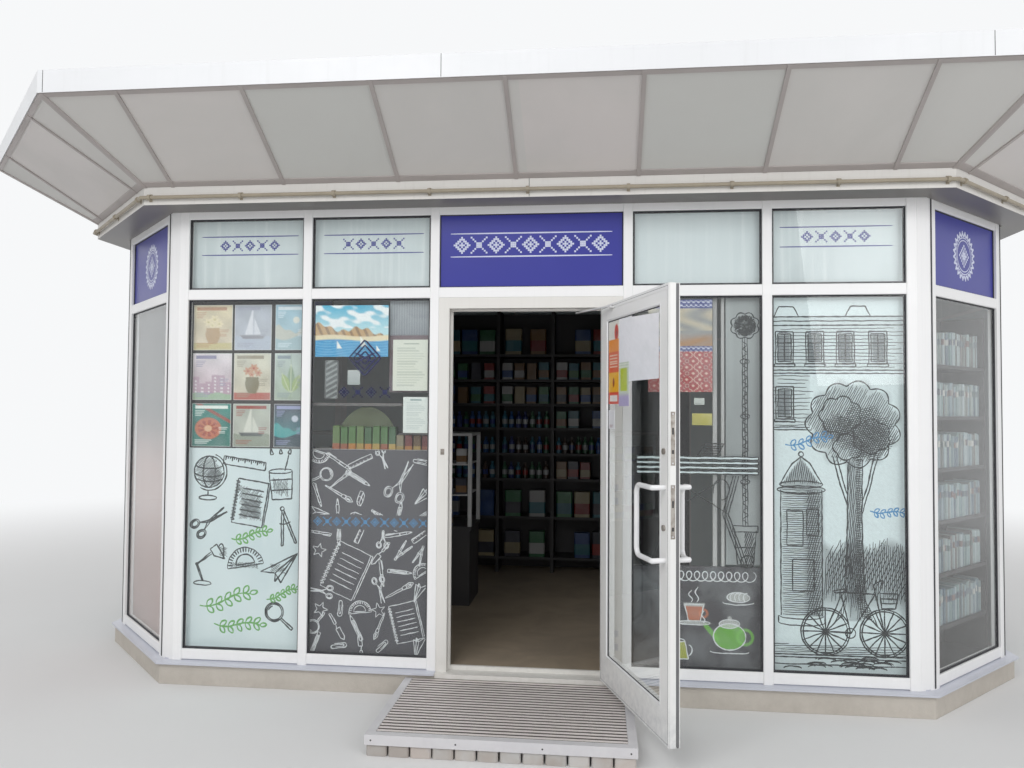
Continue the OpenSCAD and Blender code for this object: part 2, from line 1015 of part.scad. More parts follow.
// A bent tube: out from the stile, then sideways by the reach, and down to its twin. The face
// is 0 for the outer side of the leaf and 1 for the inner one.
module handle(reach_x, face) {
    y0 = face * leaf_t;
    y1 = y0 + (2 * face - 1) * handle_stand;
    for (s = [-1, 1])
        translate([handle_x, min(y0, y1), handle_z + s * handle_h / 2])
            rotate([-90, 0, 0])
                cylinder(r = handle_r, h = handle_stand, $fn = 32);
    translate([handle_x, y1, 0]) {
        for (s = [-1, 1])
            translate([0, 0, handle_z + s * handle_h / 2]) {
                sphere(r = handle_r, $fn = 32);
                rotate([0, 90, 0])
                    cylinder(r = handle_r, h = reach_x - bend_r, $fn = 32);
            }
        for (s = [-1, 1])
            translate([reach_x - bend_r, 0, handle_z + s * (handle_h / 2 - bend_r)])
                rotate([90, s > 0 ? 0 : 90, 0])
                    rotate_extrude(angle = 90, $fn = 48)
                        translate([bend_r, 0])
                            circle(r = handle_r, $fn = 32);
        translate([reach_x, 0, handle_z - handle_h / 2 + bend_r])
            cylinder(r = handle_r, h = handle_h - 2 * bend_r, $fn = 32);
    }
}

module leaf_handles() {
    color(white)
        swung()
            for (face = [0, 1])
                handle(handle_reaches[face], face);
}

module leaf_locks() {
    color([0.62, 0.58, 0.50])
        swung()
            for (lock = locks) {
                translate([leaf_left, plate_y, lock[0] - plate_h / 2])
                    cube([plate_t, plate_w, plate_h]);
                for (y = [leaf_t, -cylinder_h])
                    translate([cylinder_x, y, lock[1]])
                        rotate([-90, 0, 0])
                            cylinder(r = cylinder_r, h = cylinder_h, $fn = 32);
            }
}

// A hinge has two knuckles on the jamb and one on the leaf between them, round one pin
module hinge_jamb_leaves() {
    color([0.70, 0.70, 0.72])
        at_wall(0)
            for (z = hinge_z)
                for (s = [-1, 1])
                    translate([pin_x, pin_y, z + s * (knuckle_h + 1)]) {
                        translate([0, 0, -knuckle_h / 2])
                            cylinder(r = knuckle_r, h = knuckle_h, $fn = 32);
                        translate([flap_in, 0, -knuckle_h / 2])
                            cube([flap_w, -pin_y, knuckle_h]);
                    }
}

module hinge_leaf_leaves() {
    color([0.70, 0.70, 0.72])
        swung()
            for (z = hinge_z)
                translate([pin_x, pin_y, z - knuckle_h / 2]) {
                    cylinder(r = knuckle_r, h = knuckle_h, $fn = 32);
                    translate([-flap_in - flap_w, 0, 0])
                        cube([flap_w, -pin_y, knuckle_h]);
                }
}

function turned(p, a) = [p[0] * cos(a) - p[1] * sin(a), p[0] * sin(a) + p[1] * cos(a)];
stay_rel = turned([stay_pin_x - pin_x, stay_pin_y - pin_y], leaf_open);
stay_at = [pin_x + stay_rel[0], pin_y + stay_rel[1]];
stay_angle = 180 - asin((track_y - stay_at[1]) / stay_len);

module stay_arm() {
    color([0.78, 0.78, 0.78])
        at_wall(0)
            translate([stay_at[0], stay_at[1], arm_z])
                rotate([0, 0, stay_angle]) {
                    translate([0, -arm_w / 2, 0])
                        cube([stay_len, arm_w, arm_t]);
                    cylinder(r = arm_w / 2 + 1, h = arm_t, $fn = 32);
                    translate([stay_len, 0, 0])
                        cylinder(r = arm_w / 2 + 4, h = arm_t, $fn = 32);
                }
}

plinth();
floor_deck();
floor_mat();
sill_long();
sill_corners();
corner_posts();
front_frame_left();
front_frame_right();
over_door_frame();
back_frame();
side_frames();
corner_frames();
front_glass();
back_glass();
side_glass();
corner_glass();
sign_panels();
door_frame();
ceiling();
eave_long();
eave_corners();
eave_tube();
canopy_long();
canopy_corners();
canopy_ribs();
fascia_long();
fascia_corners();
roof_deck();
step_frame();
step_grate();
step_blocks();
counter_base();
counter_case();
back_shelving();
bookcase();
book_rows();
magazine_board();
hinge_jamb_leaves();
leaf_frame();
leaf_glass();
leaf_handles();
leaf_locks();
hinge_leaf_leaves();
stay_arm();
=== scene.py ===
import json
import math
import bpy
import numpy as np
from mathutils import Matrix, Vector


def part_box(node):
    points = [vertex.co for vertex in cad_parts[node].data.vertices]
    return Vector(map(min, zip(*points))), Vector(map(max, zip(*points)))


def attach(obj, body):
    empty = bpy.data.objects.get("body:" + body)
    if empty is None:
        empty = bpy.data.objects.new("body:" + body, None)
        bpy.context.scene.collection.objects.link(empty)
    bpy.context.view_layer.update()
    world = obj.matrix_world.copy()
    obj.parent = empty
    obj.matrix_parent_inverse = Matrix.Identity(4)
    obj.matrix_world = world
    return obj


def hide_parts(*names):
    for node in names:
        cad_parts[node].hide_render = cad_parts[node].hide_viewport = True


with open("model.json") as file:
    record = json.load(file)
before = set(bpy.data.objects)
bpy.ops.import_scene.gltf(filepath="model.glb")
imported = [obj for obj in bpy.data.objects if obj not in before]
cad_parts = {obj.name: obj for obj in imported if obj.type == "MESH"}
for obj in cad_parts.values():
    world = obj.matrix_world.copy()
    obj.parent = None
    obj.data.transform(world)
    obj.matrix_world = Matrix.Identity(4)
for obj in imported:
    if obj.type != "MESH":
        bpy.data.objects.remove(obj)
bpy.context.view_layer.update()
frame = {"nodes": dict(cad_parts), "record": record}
print("frame loaded:", len(frame["nodes"]), "nodes")

dice = np.random.default_rng(11)

# The plan in metres: wall lengths between corner edges, and the glazing's place in the walls
plan = {
    "front": 4.5, "side": 1.755, "corner": 1.1, "bar": 0.055, "doorBay": 1.1, "backBays": 5,
    "glassFront": 0.022, "glassBack": 0.028, "sill": 0.144,
    "glassFoot": 0.206, "glassHead": 2.360, "topFoot": 2.424, "topHead": 2.865,
}


def wallPlace(wall):
    # length of a wall, its distance from the middle, and how far its middle is shifted along it
    slant = math.sqrt(0.5)
    reach = plan["front"] / 2 + plan["side"] / 2 + plan["corner"] * slant
    if wall % 2:
        shift = (plan["front"] - plan["side"]) / 2 * slant
        return plan["corner"], reach * slant, shift if wall % 4 == 1 else -shift
    across = plan["side"] if wall % 4 == 0 else plan["front"]
    along = plan["front"] if wall % 4 == 0 else plan["side"]
    return along, across / 2 + plan["corner"] * slant, 0.0


def onWall(wall, points):
    # a point is [along the wall, inwards from its face, up]; it is set out by the wall's
    # distance and turned by 45 degrees for each wall
    points = np.asarray(points, float)
    distance, shift = wallPlace(wall)[1:]
    x, y, turn = points[..., 0] + shift, points[..., 1] - distance, math.radians(45 * wall)
    return np.stack([x * math.cos(turn) - y * math.sin(turn),
                     x * math.sin(turn) + y * math.cos(turn), points[..., 2]], -1)


def onFront(points):
    return onWall(0, points)


def inPlace(points):
    return points


def baysOf(wall):
    # left and right edges of the glazed bays of a wall
    length, bar = wallPlace(wall)[0], plan["bar"]
    if wall == 0:
        door = plan["doorBay"] / 2
        bay = (length / 2 - door - 4 * bar) / 2
        right = [(door + bar, door + bar + bay), (door + 2 * bar + bay, door + 2 * bar + 2 * bay)]
        return [(-b, -a) for a, b in reversed(right)] + right
    count = {4: plan["backBays"], 2: 2, 6: 2}.get(wall, 1)
    bay = (length - 2 * bar - (count + 1) * bar) / count
    return [(-length / 2 + 2 * bar + k * (bay + bar), -length / 2 + 2 * bar + k * (bay + bar) + bay)
            for k in range(count)]


# Mesh helpers: a shape is its points and its faces, the faces as one array or as a list with an
# array for each number of corners


def newPiece(name, shape, finish, place=onFront, body="kiosk", tones=None):
    # place sets [along, inwards, up] points out in the room; tones are point colours
    points, faces = shape
    mesh = bpy.data.meshes.new(name)
    rows = [row for block in (faces if isinstance(faces, list) else [faces]) for row in block.tolist()]
    mesh.from_pydata(place(points).reshape(-1, 3).tolist(), [], rows)
    mesh.validate()
    if tones is not None:
        layer = mesh.color_attributes.new("tone", "FLOAT_COLOR", "POINT")
        rgba = np.ones((len(mesh.vertices), 4))
        rgba[:, :3] = tones.reshape(-1, 3)
        layer.data.foreach_set("color", rgba.ravel())
    mesh.materials.append(finishes[finish])
    mesh.update()
    piece = bpy.data.objects.new(name, mesh)
    bpy.context.scene.collection.objects.link(piece)
    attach(piece, body)
    return piece


def stripQuads(rows, columns, closeRows=False, closeColumns=False):
    # quads of a grid of points, going round where a direction is closed
    r = np.arange(rows if closeRows else rows - 1)[:, None]
    c = np.arange(columns if closeColumns else columns - 1)[None, :]
    nextR, nextC = (r + 1) % rows, (c + 1) % columns
    quads = np.stack([r * columns + c, nextR * columns + c, nextR * columns + nextC,
                      r * columns + nextC], -1)
    return quads.reshape(-1, 4)


def repeatFaces(faces, count, stride):
    # the same faces for each of count copies whose points follow each other
    return (faces[None] + np.arange(count)[:, None, None] * stride).reshape(-1, faces.shape[1])


boxCorners = np.array([[x, y, z] for z in (0, 1) for x, y in ((0, 0), (1, 0), (1, 1), (0, 1))])
boxQuads = np.array([[0, 3, 2, 1], [4, 5, 6, 7], [0, 1, 5, 4], [1, 2, 6, 5], [2, 3, 7, 6], [3, 0, 4, 7]])


def boxes(lows, highs):
    # boxes between their low and high corners
    lows, highs = np.atleast_2d(lows), np.atleast_2d(highs)
    points = lows[:, None] + boxCorners[None] * (highs - lows)[:, None]
    return points, repeatFaces(boxQuads, len(lows), 8)


def frameRings(panes, profile):
    # a closed strip round each pane: a profile point is drawn in from the pane's edge by its
    # first number and set at the depth of its second, and the corners are mitred
    panes, profile = np.asarray(panes, float)[:, None, None], np.asarray(profile, float)[None, :, None]
    sideX, sideZ = np.array([0, 1, 1, 0]), np.array([0, 0, 1, 1])
    x = np.where(sideX == 0, panes[..., 0] + profile[..., 0], panes[..., 1] - profile[..., 0])
    z = np.where(sideZ == 0, panes[..., 2] + profile[..., 0], panes[..., 3] - profile[..., 0])
    points = np.stack(np.broadcast_arrays(x, profile[..., 1], z), -1)
    faces = stripQuads(profile.shape[1], 4, closeRows=True, closeColumns=True)
    return points, repeatFaces(faces, len(panes), 4 * profile.shape[1])


def gather(parts):
    # joins shapes of quads into one
    points, faces, start = [], [], 0
    for part, quads in parts:
        points.append(part.reshape(-1, 3))
        faces.append(quads + start)
        start += len(points[-1])
    return np.concatenate(points), np.concatenate(faces)


def onWalls(parts):
    # joins [wall, shape] pairs, each shape set out on its wall
    return gather([(onWall(wall, points), faces) for wall, (points, faces) in parts])


# Materials: every finish is kept under its name
finishes = {}


def paint(red, green, blue):
    # a screen colour between 0 and 1 as linear light
    rgb = np.array([red, green, blue], float)
    rgb = np.where(rgb <= 0.04045, rgb / 12.92, ((rgb + 0.055) / 1.055) ** 2.4)
    return tuple(rgb.tolist()) + (1.0,)


def feed(tree, socket, value):
    # links a socket or sets its own value; three numbers are a screen colour
    if isinstance(value, bpy.types.NodeSocket):
        tree.links.new(value, socket)
    else:
        socket.default_value = paint(*value) if isinstance(value, tuple) and len(value) == 3 else value


def put(tree, kind, inputs=None, **settings):
    # a node, or one use of a group, with its settings and what its inputs get
    single = isinstance(kind, str)
    node = tree.nodes.new("ShaderNode" + kind if single else "ShaderNodeGroup")
    for key, value in (settings if single else {"node_tree": kind}).items():
        setattr(node, key, value)
    for key, value in (inputs or {}).items():
        feed(tree, node.inputs[key], value)
    return node


def maths(tree, operation, first, second=0.0, third=0.0):
    return put(tree, "Math", {0: first, 1: second, 2: third}, operation=operation).outputs[0]


def scaled(tree, value, factor):
    return maths(tree, "MULTIPLY", value, factor)


def ramp(tree, value, low, high, first=0.0, last=1.0, soft=False):
    # first where the value is low, last where it is high
    ends = {"Value": value, "From Min": low, "From Max": high, "To Min": first, "To Max": last}
    kind = "SMOOTHSTEP" if soft else "LINEAR"
    return put(tree, "MapRange", ends, interpolation_type=kind).outputs["Result"]


def coordinates(tree, kind="Object"):
    return put(tree, "TexCoord").outputs[kind]


def axes(tree, kind):
    # X, Y and Z of the place or of the facing
    return put(tree, "SeparateXYZ", {"Vector": coordinates(tree, kind)}).outputs


def noise(tree, scale, detail, rough=0.5, distortion=0.0, where=None):
    inputs = {"Vector": coordinates(tree) if where is None else where, "Scale": scale, "Detail": detail,
              "Roughness": rough, "Distortion": distortion}
    return put(tree, "TexNoise", inputs).outputs["Fac"]


def mixColour(tree, mask, first, second):
    # first where the mask is 0, second where it is 1
    return put(tree, "Mix", {"Factor": mask, 6: first, 7: second}, data_type="RGBA").outputs[2]


def newGroup(name, inputs, outputs):
    # a shader group with named sockets, its given sockets and its results
    group = bpy.data.node_groups.new(name, "ShaderNodeTree")
    for label, value in inputs.items():
        kind = "NodeSocketColor" if isinstance(value, tuple) else "NodeSocketFloat"
        group.interface.new_socket(name=label, in_out="INPUT", socket_type=kind).default_value = value
    for label in outputs:
        kind = "NodeSocketColor" if label == "Color" else "NodeSocketFloat"
        group.interface.new_socket(name=label, in_out="OUTPUT", socket_type=kind)
    return group, group.nodes.new("NodeGroupInput").outputs, group.nodes.new("NodeGroupOutput").inputs


def makeGrain():
    # fine even noise for the tooth of a coating
    group, given, result = newGroup("fine_grain", {"Scale": 400.0, "Detail": 3.0}, ["Height"])
    group.links.new(noise(group, given["Scale"], given["Detail"], 0.6), result["Height"])
    return group


def makeStreaks():
    # rain streaks: noise drawn out along the height, cut to its darkest part
    group, given, result = newGroup("rain_streaks", {"Width": 60.0, "Length": 1.2, "Cover": 0.5}, ["Mask"])
    wide, tall = given["Width"], given["Length"]
    size = put(group, "CombineXYZ", {"X": wide, "Y": wide, "Z": tall}).outputs[0]
    drawn = put(group, "VectorMath", {0: coordinates(group), 1: size}, operation="MULTIPLY").outputs[0]
    edge = maths(group, "SUBTRACT", 1.0, given["Cover"])
    mask = ramp(group, noise(group, 1.0, 4.0, 0.55, where=drawn), edge, 0.85, soft=True)
    group.links.new(mask, result["Mask"])
    return group


def makeClouds():
    # two tints that drift into each other over a surface
    inputs = {"Base": (1, 1, 1, 1), "Tint": (1, 1, 1, 1), "Scale": 2.0, "Amount": 0.5}
    group, given, result = newGroup("cloudy_tint", inputs, ["Color", "Mask"])
    drift = ramp(group, noise(group, given["Scale"], 5.0, 0.55, 0.6), 0.35, 0.7, soft=True)
    share = maths(group, "MULTIPLY", drift, given["Amount"])
    group.links.new(mixColour(group, share, given["Base"], given["Tint"]), result["Color"])
    group.links.new(drift, result["Mask"])
    return group


def makeFootDirt():
    # splashed dirt that fades with the height over the ground, broken up by noise
    group, given, result = newGroup("foot_dirt", {"Top": 0.5, "Grain": 30.0}, ["Mask"])
    fade = ramp(group, axes(group, "Object")["Z"], given["Top"], 0.0, soft=True)
    broken = ramp(group, noise(group, given["Grain"], 6.0, 0.65), 0.3, 0.75)
    group.links.new(maths(group, "MULTIPLY", fade, broken), result["Mask"])
    return group


fineGrain, rainStreaks, cloudyTint, footDirt = makeGrain(), makeStreaks(), makeClouds(), makeFootDirt()


def blank(name):
    # an empty material with its Principled shader
    finish = finishes[name] = bpy.data.materials.new(name)
    finish.use_nodes = True
    return finish.node_tree, finish.node_tree.nodes["Principled BSDF"]


def clouds(tree, base, tint, scale, amount):
    return put(tree, cloudyTint, {"Base": base, "Tint": tint, "Scale": scale, "Amount": amount}).outputs


def streaks(tree, width, length, cover=0.5):
    return put(tree, rainStreaks, {"Width": width, "Length": length, "Cover": cover}).outputs["Mask"]


def grained(tree, scale, detail):
    return put(tree, fineGrain, {"Scale": scale, "Detail": detail}).outputs["Height"]


def close(tree, shader, colour, rough, height, tooth, depth=0.0004, metal=0.0):
    # the shader takes a colour, a roughness and the tooth of a height
    feed(tree, shader.inputs["Base Color"], colour)
    feed(tree, shader.inputs["Roughness"], rough)
    shader.inputs["Metallic"].default_value = metal
    bump = put(tree, "Bump", {"Height": height, "Strength": tooth, "Distance": depth})
    tree.links.new(bump.outputs["Normal"], shader.inputs["Normal"])


def blendShaders(tree, share, first, second, end):
    # first where the share is 0, second where it is 1
    mix = put(tree, "MixShader", {"Fac": share, 1: first.outputs[0], 2: second.outputs[0]})
    tree.links.new(mix.outputs[0], tree.nodes[end].inputs["Surface"])


# What a coat has where its own look says nothing
usualCoat = dict(cloudScale=2.0, cloud=0.5, roughVary=0.1, grain=500.0, tooth=0.08, toothDepth=0.0004,
                 metal=0.0, streak=0.0, streakWidth=60.0, foot=0.0, footTop=0.5,
                 dirtColour=(0.45, 0.42, 0.36))
coatLooks = {
    "profile_white": dict(colour=(0.95, 0.95, 0.952), tint=(0.93, 0.93, 0.935), rough=0.32, cloud=0.4,
                          streak=0.05, foot=0.12, footTop=0.4, dirtColour=(0.62, 0.61, 0.60)),
    "sill_white": dict(colour=(0.785, 0.795, 0.835), tint=(0.745, 0.755, 0.795), rough=0.3, cloud=0.4,
                       streak=0.05, foot=0.2, footTop=0.14, dirtColour=(0.60, 0.59, 0.58)),
    "door_frame_cream": dict(colour=(0.885, 0.878, 0.862), tint=(0.86, 0.852, 0.835), rough=0.38, cloud=0.4,
                             streak=0.06, foot=0.3, footTop=0.35, dirtColour=(0.62, 0.59, 0.54)),
    "leaf_white": dict(colour=(0.93, 0.93, 0.925), tint=(0.905, 0.905, 0.905), rough=0.34, cloud=0.4,
                       streak=0.05, foot=0.65, footTop=0.46, dirtColour=(0.56, 0.58, 0.61)),
    "sign_blue": dict(colour=(0.18, 0.195, 0.575), tint=(0.20, 0.22, 0.615), rough=0.28, cloudScale=1.2,
                      grain=900.0),
    "ceiling_white": dict(colour=(0.84, 0.84, 0.82), tint=(0.80, 0.80, 0.78), rough=0.7),
    "tube_khaki": dict(colour=(0.64, 0.60, 0.53), tint=(0.58, 0.55, 0.49), rough=0.45, cloudScale=9.0),
    "rib_grey": dict(colour=(0.685, 0.655, 0.645), tint=(0.635, 0.61, 0.60), rough=0.45, cloudScale=4.0),
    "fascia_white": dict(colour=(0.90, 0.905, 0.915), tint=(0.87, 0.88, 0.885), rough=0.33, cloud=0.4,
                         streak=0.08, streakWidth=25.0, cloudScale=1.0, dirtColour=(0.66, 0.66, 0.64)),
    "roof_membrane": dict(colour=(0.47, 0.47, 0.475), tint=(0.43, 0.43, 0.435), rough=0.85, grain=220.0,
                          tooth=0.5, toothDepth=0.002, cloudScale=0.7, cloud=0.6),
    "plinth_concrete": dict(colour=(0.77, 0.745, 0.71), tint=(0.72, 0.695, 0.66), rough=0.85, grain=160.0,
                            tooth=0.6, toothDepth=0.003, cloudScale=3.5, cloud=0.7, foot=0.25, footTop=0.16,
                            dirtColour=(0.55, 0.53, 0.50)),
    "step_aluminium": dict(colour=(0.86, 0.855, 0.865), tint=(0.80, 0.795, 0.81), rough=0.42, metal=0.2,
                           cloudScale=6.0, foot=0.2, footTop=0.13, roughVary=0.2,
                           dirtColour=(0.60, 0.58, 0.56)),
    "step_paver": dict(colour=(0.70, 0.67, 0.63), tint=(0.62, 0.59, 0.55), rough=0.9, grain=180.0, tooth=0.7,
                       toothDepth=0.003, cloudScale=9.0, cloud=0.9, foot=0.5, footTop=0.06),
    "fitting_dark": dict(colour=(0.20, 0.195, 0.20), tint=(0.24, 0.23, 0.225), rough=0.5, cloudScale=5.0),
    "fitting_grey": dict(colour=(0.72, 0.72, 0.72), tint=(0.66, 0.66, 0.66), rough=0.4),
    "handle_white": dict(colour=(0.93, 0.93, 0.935), tint=(0.90, 0.90, 0.91), rough=0.18, roughVary=0.06,
                         cloudScale=12.0),
    "hinge_metal": dict(colour=(0.82, 0.82, 0.83), tint=(0.74, 0.74, 0.75), rough=0.35, cloudScale=14.0),
    "lock_metal": dict(colour=(0.70, 0.68, 0.655), tint=(0.52, 0.49, 0.46), rough=0.35, metal=0.6,
                       cloudScale=18.0, cloud=0.9, roughVary=0.25),
    "shelf_board": dict(colour=(0.40, 0.385, 0.385), tint=(0.35, 0.34, 0.34), rough=0.5, cloudScale=5.0),
    "seal_grey": dict(colour=(0.45, 0.45, 0.46), tint=(0.40, 0.40, 0.41), rough=0.55, cloudScale=7.0),
    "gasket_rubber": dict(colour=(0.19, 0.19, 0.21), tint=(0.26, 0.26, 0.27), rough=0.6, cloudScale=7.0),
}


def makeCoat(name, look):
    # painted or bare surface: cloudy tint, rain streaks, foot dirt and a fine tooth
    look = {**usualCoat, **look}
    tree, shader = blank(name)
    tint = clouds(tree, look["colour"], look["tint"], look["cloudScale"], look["cloud"])
    colour = tint["Color"]
    if look["streak"]:
        mask = scaled(tree, streaks(tree, look["streakWidth"], 1.2), look["streak"])
        colour = mixColour(tree, mask, colour, look["dirtColour"])
    if look["foot"]:
        foot = put(tree, footDirt, {"Top": look["footTop"], "Grain": 25.0}).outputs["Mask"]
        colour = mixColour(tree, scaled(tree, foot, look["foot"]), colour, look["dirtColour"])
    rough = ramp(tree, tint["Mask"], 0.0, 1.0, look["rough"], look["rough"] + look["roughVary"])
    close(tree, shader, colour, rough, grained(tree, look["grain"], 3.0), look["tooth"], look["toothDepth"],
          look["metal"])


def makeEave():
    # the cream band, and painted shade that turns the sheet grey where it faces the ground, as on the soffit
    tree, shader = blank("eave_cream")
    tint = clouds(tree, (0.86, 0.85, 0.835), (0.83, 0.82, 0.80), 1.5, 0.5)["Color"]
    band = mixColour(tree, scaled(tree, streaks(tree, 40.0, 3.0), 0.14), tint, (0.55, 0.52, 0.45))
    # painted shade: where the facing points down, the colour is mixed to grey
    facingDownShade = ramp(tree, axes(tree, "Normal")["Z"], -0.3, -0.7)
    colour = mixColour(tree, facingDownShade, band, (0.47, 0.455, 0.445))
    close(tree, shader, colour, 0.4, grained(tree, 500.0, 3.0), 0.08)


def makeGlass():
    # clear glazing that takes almost no colour away; lamps shine through it
    tree, shader = blank("clear_glass")
    hue = (0.985, 0.992, 0.99)
    for key, value in (("Base Color", hue), ("Roughness", 0.0), ("IOR", 1.45), ("Transmission Weight", 1.0)):
        feed(tree, shader.inputs[key], value)
    path = put(tree, "LightPath").outputs
    either = maths(tree, "MAXIMUM", path["Is Shadow Ray"], path["Is Diffuse Ray"])
    blendShaders(tree, either, shader, put(tree, "BsdfTransparent", {"Color": hue}), "Material Output")


# Panels of the canopy: a rib's place and the ribs' pitch on the long, short and corner sides, and
# the panels' tints
canopyPlan = {"long": (0.066, 0.693), "short": (0.0, 0.56), "corner": (0.7078, 1.3294),
              "cool": (0.80, 0.80, 0.785), "warm": (0.85, 0.82, 0.81), "worn": (0.775, 0.77, 0.755)}


def makeCanopy():
    # each panel between two ribs has its own tint, picked by its number along its side; the
    # long sides are mirrored, and on a corner the number runs with the lead of |x| over |y|
    tree, shader = blank("canopy_grey")
    spot, facing = axes(tree, "Object"), axes(tree, "Normal")
    lean, reach = ([maths(tree, "ABSOLUTE", group[axis]) for axis in "XY"] for group in (facing, spot))
    sides = [maths(tree, "SIGN", spot[axis]) for axis in "XY"]
    along = [maths(tree, "GREATER_THAN", maths(tree, "SUBTRACT", lean[1 - k], lean[k]), 0.1) for k in (0, 1)]
    slanting = maths(tree, "SUBTRACT", maths(tree, "SUBTRACT", 1.0, along[0]), along[1])
    total = 0.0
    for value, side, mask in ((maths(tree, "MULTIPLY", spot["X"], sides[1]), "long", along[0]),
                              (spot["Y"], "short", along[1]),
                              (maths(tree, "SUBTRACT", reach[0], reach[1]), "corner", slanting)):
        start, pitch = canopyPlan[side]
        number = maths(tree, "FLOOR", maths(tree, "MULTIPLY_ADD", value, 1 / pitch, 20 - start / pitch))
        total = maths(tree, "MULTIPLY_ADD", number, mask, total)
    corner = maths(tree, "MULTIPLY_ADD", sides[0], 2.0, sides[1])
    pick = put(tree, "CombineXYZ", {"X": total, "Y": corner, "Z": slanting})
    tint = put(tree, "TexWhiteNoise", {"Vector": pick.outputs[0]}, noise_dimensions="3D").outputs["Value"]
    cloud = clouds(tree, mixColour(tree, tint, canopyPlan["cool"], canopyPlan["warm"]), canopyPlan["worn"],
                   1.1, 0.45)
    rough = ramp(tree, cloud["Mask"], 0.0, 1.0, 0.5, 0.62)
    close(tree, shader, cloud["Color"], rough, grained(tree, 300.0, 3.0), 0.08)


def makeSlats():
    # worn metal tops, and painted shade that darkens the upright faces between the slats
    tree, shader = blank("step_slats")
    worn = clouds(tree, (0.895, 0.865, 0.855), (0.83, 0.80, 0.785), 5.0, 0.7)
    # painted shade: faces that stand upright are mixed to a dark grey
    side = ramp(tree, axes(tree, "Normal")["Z"], 0.6, 0.2)
    colour = mixColour(tree, side, worn["Color"], (0.42, 0.40, 0.39))
    close(tree, shader, colour, ramp(tree, worn["Mask"], 0.0, 1.0, 0.5, 0.65),
          grained(tree, 350.0, 3.0), 0.25, metal=0.1)


def makeMat():
    # ribbed entrance mat: ridges along X over worn brown fibre
    tree, shader = blank("floor_brown")
    wave = {"Vector": coordinates(tree), "Scale": 18.0, "Distortion": 0.4, "Detail": 2.0}
    ridges = put(tree, "TexWave", wave, bands_direction="Y").outputs["Fac"]
    fibre = noise(tree, 260.0, 5.0)
    worn = clouds(tree, (0.62, 0.56, 0.48), (0.51, 0.465, 0.41), 3.0, 0.8)["Color"]
    light = mixColour(tree, scaled(tree, fibre, 0.5), worn, (0.66, 0.60, 0.52))
    colour = mixColour(tree, scaled(tree, ridges, 0.35), light, (0.30, 0.27, 0.23))
    close(tree, shader, colour, 0.95, maths(tree, "ADD", ridges, fibre), 0.6, 0.003)


# Printed and painted things: roughness, fading and grain
tonedLooks = {"printed_paper": (0.38, 0.16, 700.0), "book_paper": (0.65, 0.10, 400.0),
              "shelf_goods": (0.35, 0.05, 300.0), "paver_stone": (0.88, 0.35, 160.0)}


def makeToned(name, rough, fade, grain):
    # takes the point colour called tone, slightly faded by the clouds of a sun-bleached print
    tree, shader = blank(name)
    tone = put(tree, "Attribute", attribute_name="tone").outputs["Color"]
    faded = clouds(tree, tone, (0.80, 0.83, 0.84), 6.0, fade)["Color"]
    close(tree, shader, faded, rough, grained(tree, grain, 4.0), 0.1)


# Films: smear is a share, drawn is its width and length, and head is where a darker colour rises, a painted
# reflection on the corner film
filmLooks = {
    "film_mint": dict(colour=(0.86, 0.905, 0.915), tint=(0.79, 0.85, 0.865), smear=0.25,
                      smearColour=(0.92, 0.945, 0.95)),
    "film_toplight": dict(colour=(0.85, 0.885, 0.895), tint=(0.76, 0.80, 0.81), smear=0.6, drawn=(22.0, 0.7),
                          smearColour=(0.95, 0.965, 0.97)),
    "film_chalk": dict(colour=(0.305, 0.30, 0.325), tint=(0.34, 0.335, 0.355), smear=0.1,
                       smearColour=(0.48, 0.48, 0.50)),
    # the corner film is painted with a reflection: warm below and darker towards its head
    "film_warm": dict(colour=(0.69, 0.56, 0.54), tint=(0.61, 0.51, 0.495), smear=0.3,
                      smearColour=(0.78, 0.75, 0.74), head=(1.25, 1.70, (0.22, 0.24, 0.26))),
    "film_grey": dict(colour=(0.62, 0.64, 0.645), tint=(0.55, 0.57, 0.575), smear=0.3,
                      smearColour=(0.74, 0.76, 0.76)),
}


def makeFilm(name, colour, tint, smear, smearColour, drawn=(14.0, 1.0), head=None):
    # adhesive film with faint drawn-out smears; where a head is given, its colour deepens towards the top as
    # painted reflection
    tree, shader = blank(name)
    mask = scaled(tree, streaks(tree, *drawn, 0.55), smear)
    shade = mixColour(tree, mask, clouds(tree, colour, tint, 1.3, 0.7)["Color"], smearColour)
    if head:
        # painted reflection: the colour darkens towards the top
        low, high, paintedReflection = head
        shade = mixColour(tree, ramp(tree, axes(tree, "Object")["Z"], low, high, soft=True), shade, paintedReflection)
    close(tree, shader, shade, 0.45, grained(tree, 120.0, 3.0), 0.05, 0.0006)


# Drawing materials: colour, roughness and grain
inkLooks = {
    "pencil_ink": ((0.20, 0.22, 0.23), 0.6, 300.0), "black_ink": ((0.12, 0.14, 0.15), 0.5, 300.0),
    "chalk_white": ((0.85, 0.86, 0.87), 0.8, 500.0), "green_ink": ((0.42, 0.67, 0.36), 0.6, 300.0),
    "chalk_blue": ((0.30, 0.56, 0.76), 0.8, 500.0), "line_blue": ((0.13, 0.16, 0.54), 0.4, 200.0),
    "line_pale": ((0.82, 0.84, 0.92), 0.4, 200.0), "line_navy": ((0.12, 0.15, 0.33), 0.4, 200.0),
}


def makeInk(name, colour, rough, grain):
    # pencil, chalk or ink: the stroke's colour is broken by the tooth of what it is drawn on
    tree, shader = blank(name)
    tooth = ramp(tree, grained(tree, grain, 4.0), 0.3, 0.7, 0.88, 1.0)
    shade = mixColour(tree, tooth, tuple(0.6 * part + 0.2 for part in colour), colour)
    feed(tree, shader.inputs["Base Color"], shade)
    feed(tree, shader.inputs["Roughness"], rough)


for name, look in coatLooks.items():
    makeCoat(name, look)
for name, look in filmLooks.items():
    makeFilm(name, **look)
for maker, looks in ((makeToned, tonedLooks), (makeInk, inkLooks)):
    for name, look in looks.items():
        maker(name, *look)
for maker in (makeEave, makeCanopy, makeGlass, makeMat, makeSlats):
    maker()

